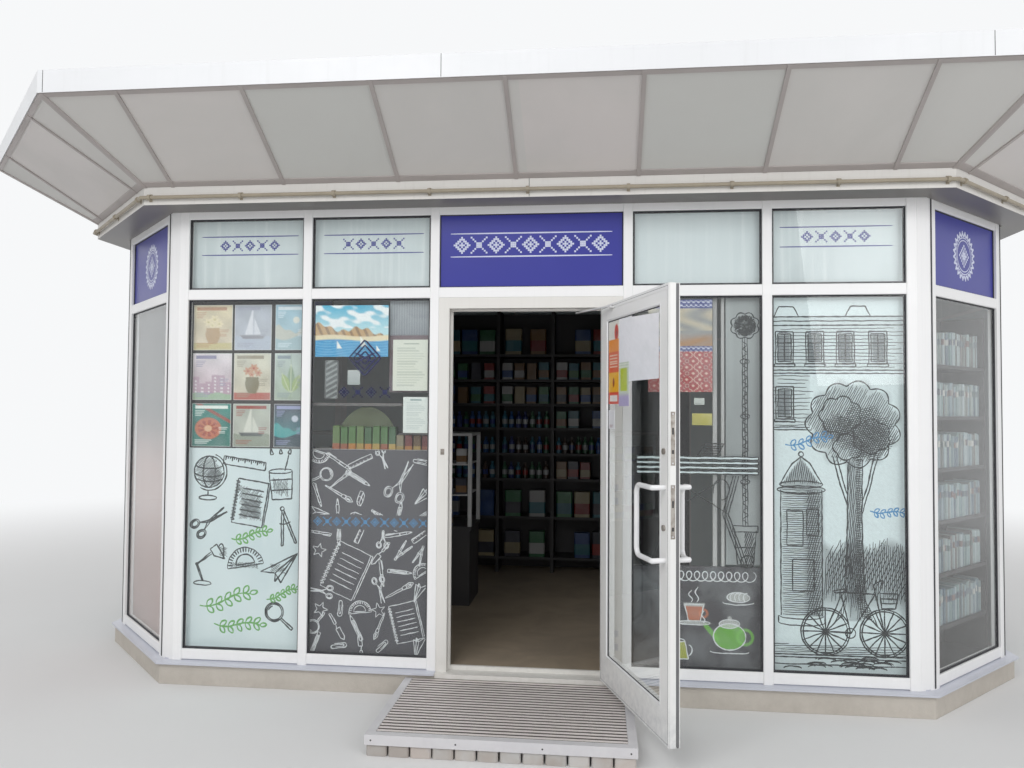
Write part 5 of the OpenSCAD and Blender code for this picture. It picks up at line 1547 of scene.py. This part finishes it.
def makeLockDetails():
    # dark patches of painted shade where the bolt and cylinder openings are, and a screw at each end of a
    # plate; a screw head is made facing forwards and turned to face along the leaf
    left, middle = leafPlan["left"], leafPlan["lockDepth"]
    openings = [opening for plate, cylinder in leafPlan["locks"]
                for opening in ((plate + lockPlan["boltUp"],) + lockPlan["bolt"],
                                (cylinder,) + lockPlan["cylinder"])]
    lows = [[left - lockPlan["proud"], middle - half, z - high] for z, half, high in openings]
    highs = [[left + lockPlan["sunk"], middle + half, z + high] for z, half, high in openings]
    # painted shade: flat dark boxes stand for the openings
    leafPiece("lock_openings_painted_shade", boxes(lows, highs), "fitting_dark")
    away = leafPlan["screwAway"]
    points, faces = screwHeads([[middle, left, plate + up] for plate, cylinder in leafPlan["locks"]
                                for up in (-away, away)], *leafPlan["screw"])
    leafPiece("lock_screws", (points[..., [1, 0, 2]], faces[:, ::-1]), "hinge_metal")


def stickerTone(u, v):
    # a white head with a red sweep, then bands of warm colours with pale lines, a round mark and a
    # white foot
    bands = ((0.63, 0.776, (0.93, 0.56, 0.14)), (0.376, 0.63, (0.88, 0.36, 0.16)),
             (0.14, 0.376, (0.93, 0.70, 0.20)), (0.0, 0.14, (0.86, 0.30, 0.20)))
    tone = layered(
        even(u, (0.90, 0.89, 0.86)),
        ((0.80, 0.24, 0.16), softly(0.20 - np.hypot(u - 0.78, (v - 0.86) * 2.0), 0.05)),
        ((0.55, 0.16, 0.13), softly(0.07 - np.hypot(u - 0.80, (v - 0.85) * 2.0), 0.04)),
        *((colour, (v >= low) & (v < high)) for low, high, colour in bands),
        ((0.96, 0.86, 0.76), combed(v * 30, 0.18) & bar(u, v, 0.51, 0.09, 0.12, 0.88)),
        ((0.62, 0.28, 0.18), softly(0.09 - np.hypot(u - 0.5, (v - 0.26) * 1.6), 0.03)),
        ((0.93, 0.90, 0.88), bar(u, v, 0.07, 0.035, 0.12, 0.88)))
    return tone * speckle(u, 0.03)


def drinkTone(u, v):
    # a label that runs from yellow-green down to lilac, with pale lines at its head
    tone = layered(
        even(u, (0.80, 0.84, 0.78)),
        ((0.74, 0.80, 0.22), softly(0.34 - np.abs(u - 0.5), 0.12) * (v > 0.34) * (v < 0.86)),
        ((0.70, 0.66, 0.82), softly(0.26 - v, 0.10)),
        ((0.90, 0.92, 0.88), combed(v * 14, 0.12) & (v > 0.88)))
    return tone * speckle(u, 0.05)


# Papers on the room side of the leaf's glass: [left, right, foot, head], and how far the head of
# the large one sinks towards the closing side
leafPapers = {"large": (-0.343, 0.1995, 1.845, 2.194), "sink": 0.030, "strip": (0.207, 0.364, 1.725, 2.187),
              "drink": (0.052, 0.2005, 1.713, 1.950), "label": (0.271, 0.364, 1.586, 1.691),
              "thick": 0.0009, "gap": 0.0003, "over": 0.0002}


def onLeafSinking(points):
    # lowers a point by its share of the sheet's height and of the way to the closing side
    left, right, foot, head = leafPapers["large"]
    share = (points[..., 2:] - foot) / (head - foot) * (right - points[..., :1]) / (right - left)
    return onLeaf(points - leafPapers["sink"] * share * [0, 0, 1])


def makeLeafPapers():
    thick = leafPapers["thick"]
    face = leafPlan["glass"][1] + leafPapers["gap"] + thick
    large = (leafPapers["large"], 24, 20, plainTone((0.965, 0.965, 0.985), (0.945, 0.95, 0.975)))
    printPiece("leaf_sheet", [large], face, -thick, onLeafSinking, "door_leaf")
    sheets = [(leafPapers["strip"], 30, 80, stickerTone), (leafPapers["drink"], 30, 48, drinkTone),
              (leafPapers["label"], 18, 20, noticeTone((0.90, 0.90, 0.92), (0.55, 0.25, 0.30)))]
    fronts = [face, face + thick + leafPapers["over"], face]
    printPiece("leaf_papers", sheets, fronts, -thick, onLeaf, "door_leaf")


makeLeafTrim()
makeLockDetails()
makeLeafPapers()
print("door leaf trimmed")

# Upright packs: books, boxes and bottles share one shape, a section carried up a few levels


def packs(centres, sizes, section, levels):
    # every pack is the same closed section of points from -1 to 1, scaled to half its width and
    # depth at each level of [height share, size share], and set on its centre
    centres, sizes, levels = (np.array(rows, float) for rows in (centres, sizes, levels))
    count, around = len(centres), len(section)
    flat = section * levels[:, None, 1:] * sizes[:, None, None, :2] / 2
    up = np.broadcast_to(levels[:, None, :1] * sizes[:, None, None, 2:], flat.shape[:3] + (1,))
    side = stripQuads(len(levels), around, closeColumns=True)[:, ::-1]
    foot, head = np.arange(around)[None, ::-1], np.arange(around)[None] + (len(levels) - 1) * around
    faces = [repeatFaces(part, count, len(levels) * around) for part in (side, foot, head)]
    return np.concatenate([flat, up], -1) + centres[:, None, None], faces


softSquare = np.array([[-0.86, -1], [0.86, -1], [1, -0.86], [1, 0.86], [0.86, 1], [-0.86, 1], [-1, 0.86],
                       [-1, -0.86]])
spineSection = np.array([[-0.8, -0.985], [-0.4, -1], [0.4, -1], [0.8, -0.985], [1, -0.93], [1, 1], [-1, 1],
                         [-1, -0.93]])
roundSection = arc(0, 0, 1, None, 0, 324, 10)


def colourPick(choices, shade, count):
    table = shade * np.array([light(choice) for choice in choices])
    return table[dice.integers(0, len(choices), count)] * dice.uniform(0.85, 1.12, (count, 1))


def bandedPacks(name, spots, sizes, section, levels, grounds, bands, span, finish="shelf_goods",
                place=onFront):
    # packs with a colour each and a band of another between two levels; grounds and bands are
    # the colours to pick from and their shade
    tones = np.repeat(colourPick(*grounds, len(spots))[:, None], len(levels), axis=1)
    tones[:, span[0]:span[1] + 1] = colourPick(*bands, len(spots))[:, None]
    tones = np.repeat(tones.reshape(-1, 3), len(section), axis=0)
    return newPiece(name, packs(spots, sizes, section, levels), finish, place, tones=tones)


def spotsAt(x, depth, z):
    return np.stack(np.broadcast_arrays(x, depth, z), -1).astype(float)


# The bookcase behind the right-hand corner glass
bookPlan = {"rows": (0.250, 0.560, 0.870, 1.180, 1.490, 1.800), "board": 0.022, "floor": 0.155,
            "half": 0.398, "front": 0.094, "height": (0.186, 0.211), "vary": (-0.004, 0.004),
            "heights": (0.12, 0.214), "width": (0.010, 0.026), "depth": (0.125, 0.165), "setBack": 0.012,
            "gap": 0.0012, "most": 90, "alike": 3, "lift": 0.0005, "shade": 0.8, "bands": (4, 5),
            "levels": [[z, 1] for z in (0.0, 0.08, 0.085, 0.62, 0.625, 0.80, 0.805, 1.0)]}
bookColours = [(0.59, 0.66, 0.67), (0.65, 0.71, 0.72), (0.53, 0.62, 0.63), (0.63, 0.67, 0.66),
               (0.46, 0.54, 0.58), (0.71, 0.76, 0.78), (0.50, 0.52, 0.51), (0.40, 0.47, 0.53),
               (0.48, 0.46, 0.45), (0.58, 0.65, 0.69)]
bandColours = [(0.46, 0.51, 0.54), (0.52, 0.44, 0.42), (0.40, 0.47, 0.46), (0.80, 0.80, 0.78),
               (0.34, 0.38, 0.44)]


def makeBooks():
    # rows of spines of uneven width, three of a height at a time, with their fronts in and out
    p, centres, sizes = bookPlan, [], []
    for row in p["rows"]:
        widths = dice.uniform(*p["width"], p["most"])
        edges = -p["half"] + np.concatenate([[0.0], np.cumsum(widths + p["gap"])])
        count = int((edges[1:] < p["half"]).sum())
        heights = np.repeat(dice.uniform(*p["height"], p["most"] // p["alike"]), p["alike"])[:count]
        heights = (heights + dice.uniform(*p["vary"], count)).clip(*p["heights"])
        depths, widths = dice.uniform(*p["depth"], count), widths[:count]
        fronts = p["front"] + dice.uniform(0, p["setBack"], count)
        centres.append(spotsAt(edges[:count] + widths / 2, fronts + depths / 2,
                               p["floor"] + row + p["board"] + p["lift"]))
        sizes.append(np.stack([widths, depths, heights], -1))
    piece = bandedPacks("book_spines", np.concatenate(centres), np.concatenate(sizes), spineSection,
                        p["levels"], (bookColours, p["shade"]), (bandColours, p["shade"]), p["bands"],
                        "book_paper", lambda points: onWall(1, points))
    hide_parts("book_rows")


# Goods on the shelving and in the case on the counter; a size is width, depth and height
shelfPlan = {"uprights": (-1.13, -0.56, -0.04, 0.70), "uprightWidth": 0.030, "margin": 0.012, "front": 2.862,
             "floor": 0.155, "levels": (0.120, 0.500, 0.860, 1.100, 1.340, 1.570, 1.800, 2.040),
             "thick": 0.024, "lift": 0.0005, "bottleRows": (2, 3, 4), "bigRows": (0, 1, 7), "play": 0.003,
             "kept": 0.85, "bottle": (0.052, 0.052, 0.155), "bottlePitch": 0.062, "bottleIn": 0.03,
             "big": (0.15, 0.10, 0.24), "small": (0.10, 0.10, 0.16), "between": 0.014, "boxIn": 0.055}
casePlan = {"shelves": (0.770, 1.020, 1.260), "ends": ((-2.19, -1.43), (-1.38, -0.62)), "depth": 1.56,
            "box": (0.085, 0.07, 0.12), "pitch": 0.105, "play": 0.006, "kept": 0.8}
bottleColours = [(0.16, 0.22, 0.50), (0.14, 0.34, 0.60), (0.20, 0.45, 0.55), (0.30, 0.22, 0.18),
                 (0.20, 0.40, 0.28)]
capColours = [(0.85, 0.86, 0.88), (0.80, 0.82, 0.84), (0.20, 0.30, 0.60), (0.70, 0.20, 0.18)]
boxColours = [(0.20, 0.48, 0.30), (0.18, 0.34, 0.60), (0.62, 0.18, 0.16), (0.72, 0.66, 0.52),
              (0.16, 0.46, 0.52), (0.80, 0.80, 0.80), (0.55, 0.40, 0.22), (0.24, 0.24, 0.30)]
bottleLevels = [[0.0, 0.9], [0.03, 1.0], [0.22, 1.0], [0.225, 1.02], [0.52, 1.02], [0.525, 1.0], [0.66, 1.0],
                [0.80, 0.5], [0.88, 0.38], [0.885, 0.46], [1.0, 0.46]]
boxLevels = [[0.0, 1], [0.12, 1], [0.125, 1], [0.55, 1], [0.555, 1], [1.0, 1]]


def shelfRow(left, right, step, size, play, depth, z, kept=None):
    # evenly set packs along a shelf with a little play, of which a share is kept
    count = max(1, int((right - left) / step))
    x = left + (np.arange(count) + 0.5) * (right - left) / count + dice.uniform(-play, play, count)
    sizes = np.array([size]) * dice.uniform(0.95, 1.03, (count, 1))
    here = slice(None) if kept is None else dice.random(count) < kept
    return np.concatenate([spotsAt(x, depth, z), sizes], -1)[here]


def makeGoods():
    p, bottles, others = shelfPlan, [], []
    for bay in range(3):
        ends = p["uprights"][bay] + p["uprightWidth"] + p["margin"], p["uprights"][bay + 1] - p["margin"]
        for k, level in enumerate(p["levels"]):
            z = p["floor"] + level + p["thick"] + p["lift"]
            if k in p["bottleRows"] and (bay < 2 or k == 3):
                bottles.append(shelfRow(*ends, p["bottlePitch"], p["bottle"], p["play"],
                                        p["front"] + p["bottleIn"], z))
            else:
                size = p["big" if k in p["bigRows"] else "small"]
                others.append(shelfRow(*ends, size[0] + p["between"], size, p["play"],
                                       p["front"] + p["boxIn"], z, p["kept"]))
    others += [shelfRow(*ends, casePlan["pitch"], casePlan["box"], casePlan["play"], casePlan["depth"],
                        z + p["lift"], casePlan["kept"])
               for z in casePlan["shelves"] for ends in casePlan["ends"]]
    for name, rows, section, levels, grounds, bands, span in (
            ("shelf_bottles", bottles, roundSection, bottleLevels, (bottleColours, 0.7),
             (capColours, 0.5), (3, 4)),
            ("shelf_boxes", others, softSquare, boxLevels, (boxColours, 0.55), (boxColours, 0.55), (2, 3))):
        rows = np.concatenate(rows)
        bandedPacks(name, rows[:, :3], rows[:, 3:], section, levels, grounds, bands, span)


# Packs shown above the chalk film, standing on a narrow ledge fixed to the panel, with a shelf
# higher up; the arch's middle, half width and height
displayPlan = {"ledge": 1.440, "depth": (0.0645, 0.240), "left": -1.362, "right": -0.588, "lift": 0.0005,
               "ledgeThick": 0.014, "shelf": (1.706, 1.724), "shelfShort": 0.06, "packs": (-1.205, -0.85, 8),
               "pack": (0.046, 0.07, 0.14), "packIn": 0.055, "small": (-0.80, -0.64, 4),
               "smallPack": (0.046, 0.05, 0.09), "smallIn": 0.04, "arch": (-1.03, 0.20, 0.26),
               "archIn": 0.10, "archThick": 0.004, "archColour": (0.30, 0.33, 0.22)}
displayLevels = [[0.0, 1], [0.02, 1], [0.24, 1], [0.245, 1], [0.96, 0.96], [1.0, 0.8]]
displayColours = [(0.36, 0.55, 0.30), (0.42, 0.60, 0.34), (0.30, 0.48, 0.30), (0.50, 0.62, 0.38)]
trimColours = [(0.84, 0.56, 0.24), (0.80, 0.66, 0.34), (0.72, 0.40, 0.26)]


def makeDisplay():
    p, (near, far) = displayPlan, displayPlan["depth"]
    base = p["ledge"] + p["lift"]
    for name, (low, high), reach, finish in (
            ("display_ledge", (p["ledge"] - p["ledgeThick"], p["ledge"]), far, "fitting_grey"),
            ("display_shelf", p["shelf"], far - p["shelfShort"], "shelf_board")):
        newPiece(name, boxes([p["left"], near, low], [p["right"], reach, high]), finish)
    count = p["packs"][2]
    sizes = np.array([p["pack"]]) * dice.uniform(0.96, 1.03, (count, 1))
    spots = spotsAt(np.linspace(*p["packs"]), near + p["packIn"], base)
    bandedPacks("display_packs", spots, sizes, softSquare, displayLevels, (displayColours, 0.5),
                (trimColours, 0.6), (0, 2))
    # the arch is a half disc, lighter towards its crown
    rim = arc(p["arch"][0], base, p["arch"][1], p["arch"][2], 0, 180)
    arch = spotsAt(rim[:, 0], [[near + p["archIn"]], [near + p["archIn"] + p["archThick"]]], rim[:, 1])
    count = len(rim)
    faces = [stripQuads(2, count, closeColumns=True), np.arange(count)[None],
             np.arange(2 * count - 1, count - 1, -1)[None]]
    shine = 0.6 + 1.2 * np.sin(np.linspace(0, math.pi, count))
    newPiece("display_arch", (arch, faces), "shelf_goods",
             tones=light(p["archColour"]) * np.tile(shine, 2)[:, None])
    small = spotsAt(np.linspace(*p["small"]), near + p["smallIn"], base)
    bandedPacks("display_small_packs", small, [p["smallPack"]] * len(small), softSquare, displayLevels,
                (boxColours, 0.4), (trimColours, 0.5), (0, 2))


# Two slim posts of the shop fitting behind the bay beside the door, and the keep plate on the left
# jamb: a centre on its foot and a size of each
postPlan = {"posts": ((1.072, 1.097), (1.120, 1.139)), "depth": (0.066, 0.086), "foot": 0.1552,
            "head": 2.900}
keepPlan = {"place": (-0.520, -0.0012, 1.418), "size": (0.022, 0.0024, 0.034)}


def makePosts():
    near, far = postPlan["depth"]
    ends = np.array(postPlan["posts"])
    sizes = spotsAt(ends[:, 1] - ends[:, 0], far - near, postPlan["head"] - postPlan["foot"])
    centres = spotsAt(ends.mean(axis=1), (near + far) / 2, postPlan["foot"])
    shape = packs(centres, sizes, softSquare, [[0, 1], [1, 1]])
    newPiece("fitting_posts", shape, "fitting_grey")


makeBooks()
makeGoods()
makeDisplay()
makePosts()
print("books and goods made")

# Concrete pavers under the step, as a grid of blocks with worn edges
paverPlan = {"left": -0.718, "right": 0.594, "front": 0.8665, "back": 0.040, "top": 0.0545, "across": 12,
             "deep": 8, "joint": 0.006, "vary": 0.003, "section": 0.985,
             "levels": [[0.0, 1], [0.93, 1], [1.0, 0.93]],
             "colours": [(0.72, 0.685, 0.66), (0.71, 0.68, 0.655)]}


def makePavers():
    p = paverPlan
    wide, deep = (p["right"] - p["left"]) / p["across"], (p["front"] - p["back"]) / p["deep"]
    kx, ky = (grid.ravel() + 0.5 for grid in np.meshgrid(np.arange(p["across"]), np.arange(p["deep"])))
    spots = spotsAt(p["left"] + kx * wide, -p["front"] + ky * deep, 0.0)
    count = len(spots)
    sizes = np.array([[wide - p["joint"], deep - p["joint"], p["top"]]] * count)
    sizes[:, :2] -= dice.uniform(0, p["vary"], (count, 2))
    shape = packs(spots, sizes, softSquare * p["section"], p["levels"])
    tones = np.repeat(colourPick(p["colours"], 1.0, count), len(p["levels"]) * len(softSquare), axis=0)
    piece = newPiece("step_pavers", shape, "paver_stone", tones=tones)
    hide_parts("step_blocks")


# Screws of the step's front angle: the row's ends and number, depth, height, radius and rise
screwPlan = {"row": (-0.690, 0.566, 4), "depth": -0.8704, "height": 0.078, "head": (0.0045, 0.0016)}


def makeScrews():
    places = spotsAt(np.linspace(*screwPlan["row"]), screwPlan["depth"], screwPlan["height"])
    newPiece("step_screws", screwHeads(places, *screwPlan["head"]), "fitting_dark")


def makeKeep():
    shape = packs([keepPlan["place"]], [keepPlan["size"]], softSquare, [[0, 1], [1, 1]])
    newPiece("jamb_keep", shape, "lock_metal")


makePavers()
makeScrews()
makeKeep()

# Lines and ornament of the sign boards and the top-lights
signPlan = {"lines": (2.750, 2.610), "half": 0.485, "width": 0.0085, "depth": 0.022, "diamonds": 9,
            "pitch": 0.104, "cell": 0.0115, "topLines": (2.764, 2.649), "topInset": 0.055, "topWidth": 0.008,
            "topMotifs": 5, "topPitch": 0.080, "topCell": 0.0098}
rosettePlan = {"height": 2.645, "rings": (0.112, 0.096), "ringWidth": 0.007, "leafFrom": 0.118,
               "leaf": 0.035, "lean": 0.16, "leafWidth": 0.014, "cell": 0.0155}


def signPiece(name, wall, groups, stitched, depth, ink):
    # lines and stitched motifs of one board in one piece; a group is its lines and their width
    lines = [ribbons([evenly(path, 0.01) for path in paths], wide, depth, 0.0006) for paths, wide in groups]
    newPiece(name, onWalls([(wall, shape) for shape in lines + [stitched]]), ink, inPlace)


def makeSigns():
    half, depth, levels = signPlan["half"], signPlan["depth"], signPlan["lines"]
    rows = [line((-half, z), (half, z)) for z in levels]
    spots = rowSpots(0.0, sum(levels) / 2, signPlan["pitch"], signPlan["diamonds"])
    signPiece("sign_lines", 0, [(rows, signPlan["width"])],
              stitches(spots, signPlan["cell"], depth, 4, (4, 3, 1, 0), 2), depth, "line_pale")
    levels, inset, film = signPlan["topLines"], signPlan["topInset"], filmPlan["depth"]
    for wall, name in ((0, "front"), (2, "right"), (4, "back"), (6, "left")):
        bays = [bay for k, bay in enumerate(baysOf(wall)) if (wall, k) != (0, 2)]
        rows = [line((a + inset, z), (b - inset, z)) for a, b in bays for z in levels]
        spots = [spot for a, b in bays
                 for spot in rowSpots((a + b) / 2, sum(levels) / 2,
                                      signPlan["topPitch"], signPlan["topMotifs"])]
        signPiece("toplight_lines_" + name, wall, [(rows, signPlan["topWidth"])],
                  stitches(spots, signPlan["topCell"], film, 3, (3, 2, 0), 2), film, "line_blue")
    z, r = rosettePlan["height"], rosettePlan["leafFrom"]
    reach = r + rosettePlan["leaf"]
    leaves = [line((r * math.cos(t), z + r * math.sin(t)),
                   (reach * math.cos(t + lean), z + reach * math.sin(t + lean)))
              for t in np.radians(np.arange(0, 360, 15))
              for lean in (rosettePlan["lean"], -rosettePlan["lean"])]
    rings = [arc(0.0, z, radius, count=49) for radius in rosettePlan["rings"]]
    for wall, name in ((1, "right_front"), (3, "right_back"), (5, "left_back"), (7, "left_front")):
        signPiece("rosette_" + name, wall,
                  [(leaves, rosettePlan["leafWidth"]), (rings, rosettePlan["ringWidth"])],
                  stitches([(0.0, z)], rosettePlan["cell"], depth, 4, (4, 2, 1, 0)), depth, "line_pale")


makeSigns()

# Sheet joints of the eave and the fascia as [how far out, foot and head, places], seals beside the
# posts, and the lap seams of the roof with their welt as [across, rise]
seamPlan = {"fascia": (0.799, (3.366, 3.485), (-2.55, -0.389, 2.25)),
            "eave": (0.192, (2.912, 3.019), (0.008,)), "gap": 0.003, "proud": 0.0006, "sunk": 0.0004,
            "seal": 0.014, "sealRise": 0.0012, "sealSunk": 0.001, "sealUp": 0.002, "sealHead": 2.9165,
            "roofTop": 3.457, "roofPitch": 1.0, "roofEnd": 0.2, "roofShort": 0.02, "roofCut": 0.05,
            "roofPoints": 24, "welt": [(-0.03, 0.0), (-0.026, 0.003), (0.026, 0.003), (0.03, 0.0)]}


def makeSeams():
    p = seamPlan
    for side, slot in (("fascia", "fascia_white"), ("eave", "eave_cream")):
        out, (foot, head), places = p[side]
        parts = [(wall, boxes([x - p["gap"] / 2, -out - p["proud"], foot],
                              [x + p["gap"] / 2, -out + p["sunk"], head]))
                 for wall in (0, 4) for x in places]
        newPiece(side + "_joints", onWalls(parts), "fitting_dark", inPlace)
    away, half = plan["corner"] / 2 - plan["bar"], p["seal"] / 2
    parts = [(wall, boxes([x - half, -p["sealRise"], plan["sill"] + p["sealUp"]],
                          [x + half, p["sealSunk"], p["sealHead"]]))
             for wall in (1, 3, 5, 7) for x in (-away, away)]
    newPiece("post_seals", onWalls(parts), "gasket_rubber", inPlace)
    # a lap runs across the roof and ends short of its edge, also where the corners cut it
    low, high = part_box("roof_deck")
    x = np.arange(low[0] + p["roofPitch"], high[0] - p["roofEnd"], p["roofPitch"])
    reach = np.minimum(high[1], high[1] + (plan["front"] / 2 + plan["corner"] * p["roofCut"]) - np.abs(x))
    across, rise = np.array(p["welt"]).T
    ends = reach - p["roofShort"]
    along = np.linspace(-ends, ends, p["roofPoints"])
    laps = [(spotsAt(place + across, run[:, None], p["roofTop"] + rise), stripQuads(len(run), 4)[:, ::-1])
            for place, run in zip(x, along.T)]
    newPiece("roof_laps", gather(laps), "roof_membrane", inPlace)


makeSeams()
print("signs, seams and step finished")

# Camera, at the photo's place and angle
camera = {"place": (0.40602, -6.35443, 1.68895), "yaw": 6.1946, "pitch": 1.8549, "roll": -0.3975,
          "focal": 27.987, "sensor": 36.0, "far": 200.0}


def makeCamera():
    data = bpy.data.cameras.new("camera")
    data.lens, data.sensor_width, data.clip_end = camera["focal"], camera["sensor"], camera["far"]
    yaw, pitch, roll = (math.radians(camera[k]) for k in ("yaw", "pitch", "roll"))
    ahead = Vector((-math.sin(yaw) * math.cos(pitch), math.cos(yaw) * math.cos(pitch), math.sin(pitch)))
    right = Vector((math.cos(yaw), math.sin(yaw), 0))
    up = right.cross(ahead)
    across = right * math.cos(roll) - up * math.sin(roll)
    upward = right * math.sin(roll) + up * math.cos(roll)
    seen = bpy.data.objects.new("camera", data)
    facing = Matrix((across, upward, -ahead)).transposed().to_4x4()
    seen.matrix_world = Matrix.Translation(camera["place"]) @ facing
    bpy.context.scene.collection.objects.link(seen)
    bpy.context.scene.camera = seen


makeCamera()

# Studio: pale floor, white surround and soft lamps, each with its place, size and power
studio = {"half": 30.0, "below": -0.001, "world": 0.62, "seen": (0.93, 0.94, 0.95, 1.0),
          "floor": ((0.88, 0.88, 0.88), (0.86, 0.86, 0.86)), "rough": 0.9, "fade": (4.5, 12.0),
          "aim": (0, 0, 1.4), "key": ((-3.5, -10.2, 8.6), 6.0, 440.0),
          "fill": ((6.2, -9.0, 5.0), 6.0, 220.0), "back": ((0.0, 9.0, 7.0), 7.0, 240.0)}


def seenDirectly(tree):
    # 1 for what the camera sees, also in a gloss or through glass
    path = put(tree, "LightPath").outputs
    first = maths(tree, "MAXIMUM", path["Is Camera Ray"], path["Is Glossy Ray"])
    return maths(tree, "MAXIMUM", first, path["Is Transmission Ray"])


def makeSurround():
    world = bpy.context.scene.world = bpy.data.worlds.new("surround")
    world.use_nodes = True
    tree = world.node_tree
    lit = tree.nodes["Background"]
    lit.inputs["Color"].default_value = (1, 1, 1, 1)
    lit.inputs["Strength"].default_value = studio["world"]
    seen = put(tree, "Background", {"Color": studio["seen"], "Strength": 1.0})
    blendShaders(tree, seenDirectly(tree), lit, seen, "World Output")


def makeFloor():
    # a mottled grey that fades into the surround with the distance
    mesh, half, z = bpy.data.meshes.new("studio_floor"), studio["half"], studio["below"]
    mesh.from_pydata([(-half, -half, z), (half, -half, z), (half, half, z), (-half, half, z)],
                     [], [(0, 1, 2, 3)])
    tree, shader = blank("studio_floor")
    mottled = mixColour(tree, scaled(tree, noise(tree, 3.0, 3.0), 0.3), *studio["floor"])
    feed(tree, shader.inputs["Base Color"], mottled)
    shader.inputs["Roughness"].default_value = studio["rough"]
    away = put(tree, "VectorMath", {0: coordinates(tree)}, operation="LENGTH").outputs["Value"]
    far = maths(tree, "MULTIPLY", ramp(tree, away, *studio["fade"], soft=True), seenDirectly(tree))
    glow = put(tree, "Emission", {"Color": studio["seen"], "Strength": 1.0})
    blendShaders(tree, far, shader, glow, "Material Output")
    mesh.materials.append(finishes["studio_floor"])
    floor = bpy.data.objects.new("studio_floor", mesh)
    bpy.context.scene.collection.objects.link(floor)


def makeLamps():
    for name in ("key", "fill", "back"):
        place, size, power = studio[name]
        lamp = bpy.data.lights.new(name, "AREA")
        lamp.energy, lamp.size = power, size
        holder = bpy.data.objects.new(name, lamp)
        holder.location = place
        holder.rotation_euler = (Vector(studio["aim"]) - Vector(place)).to_track_quat("-Z", "Y").to_euler()
        bpy.context.scene.collection.objects.link(holder)


bpy.context.scene.view_settings.view_transform = "Standard"
makeSurround()
makeFloor()
makeLamps()
print("camera and studio made")
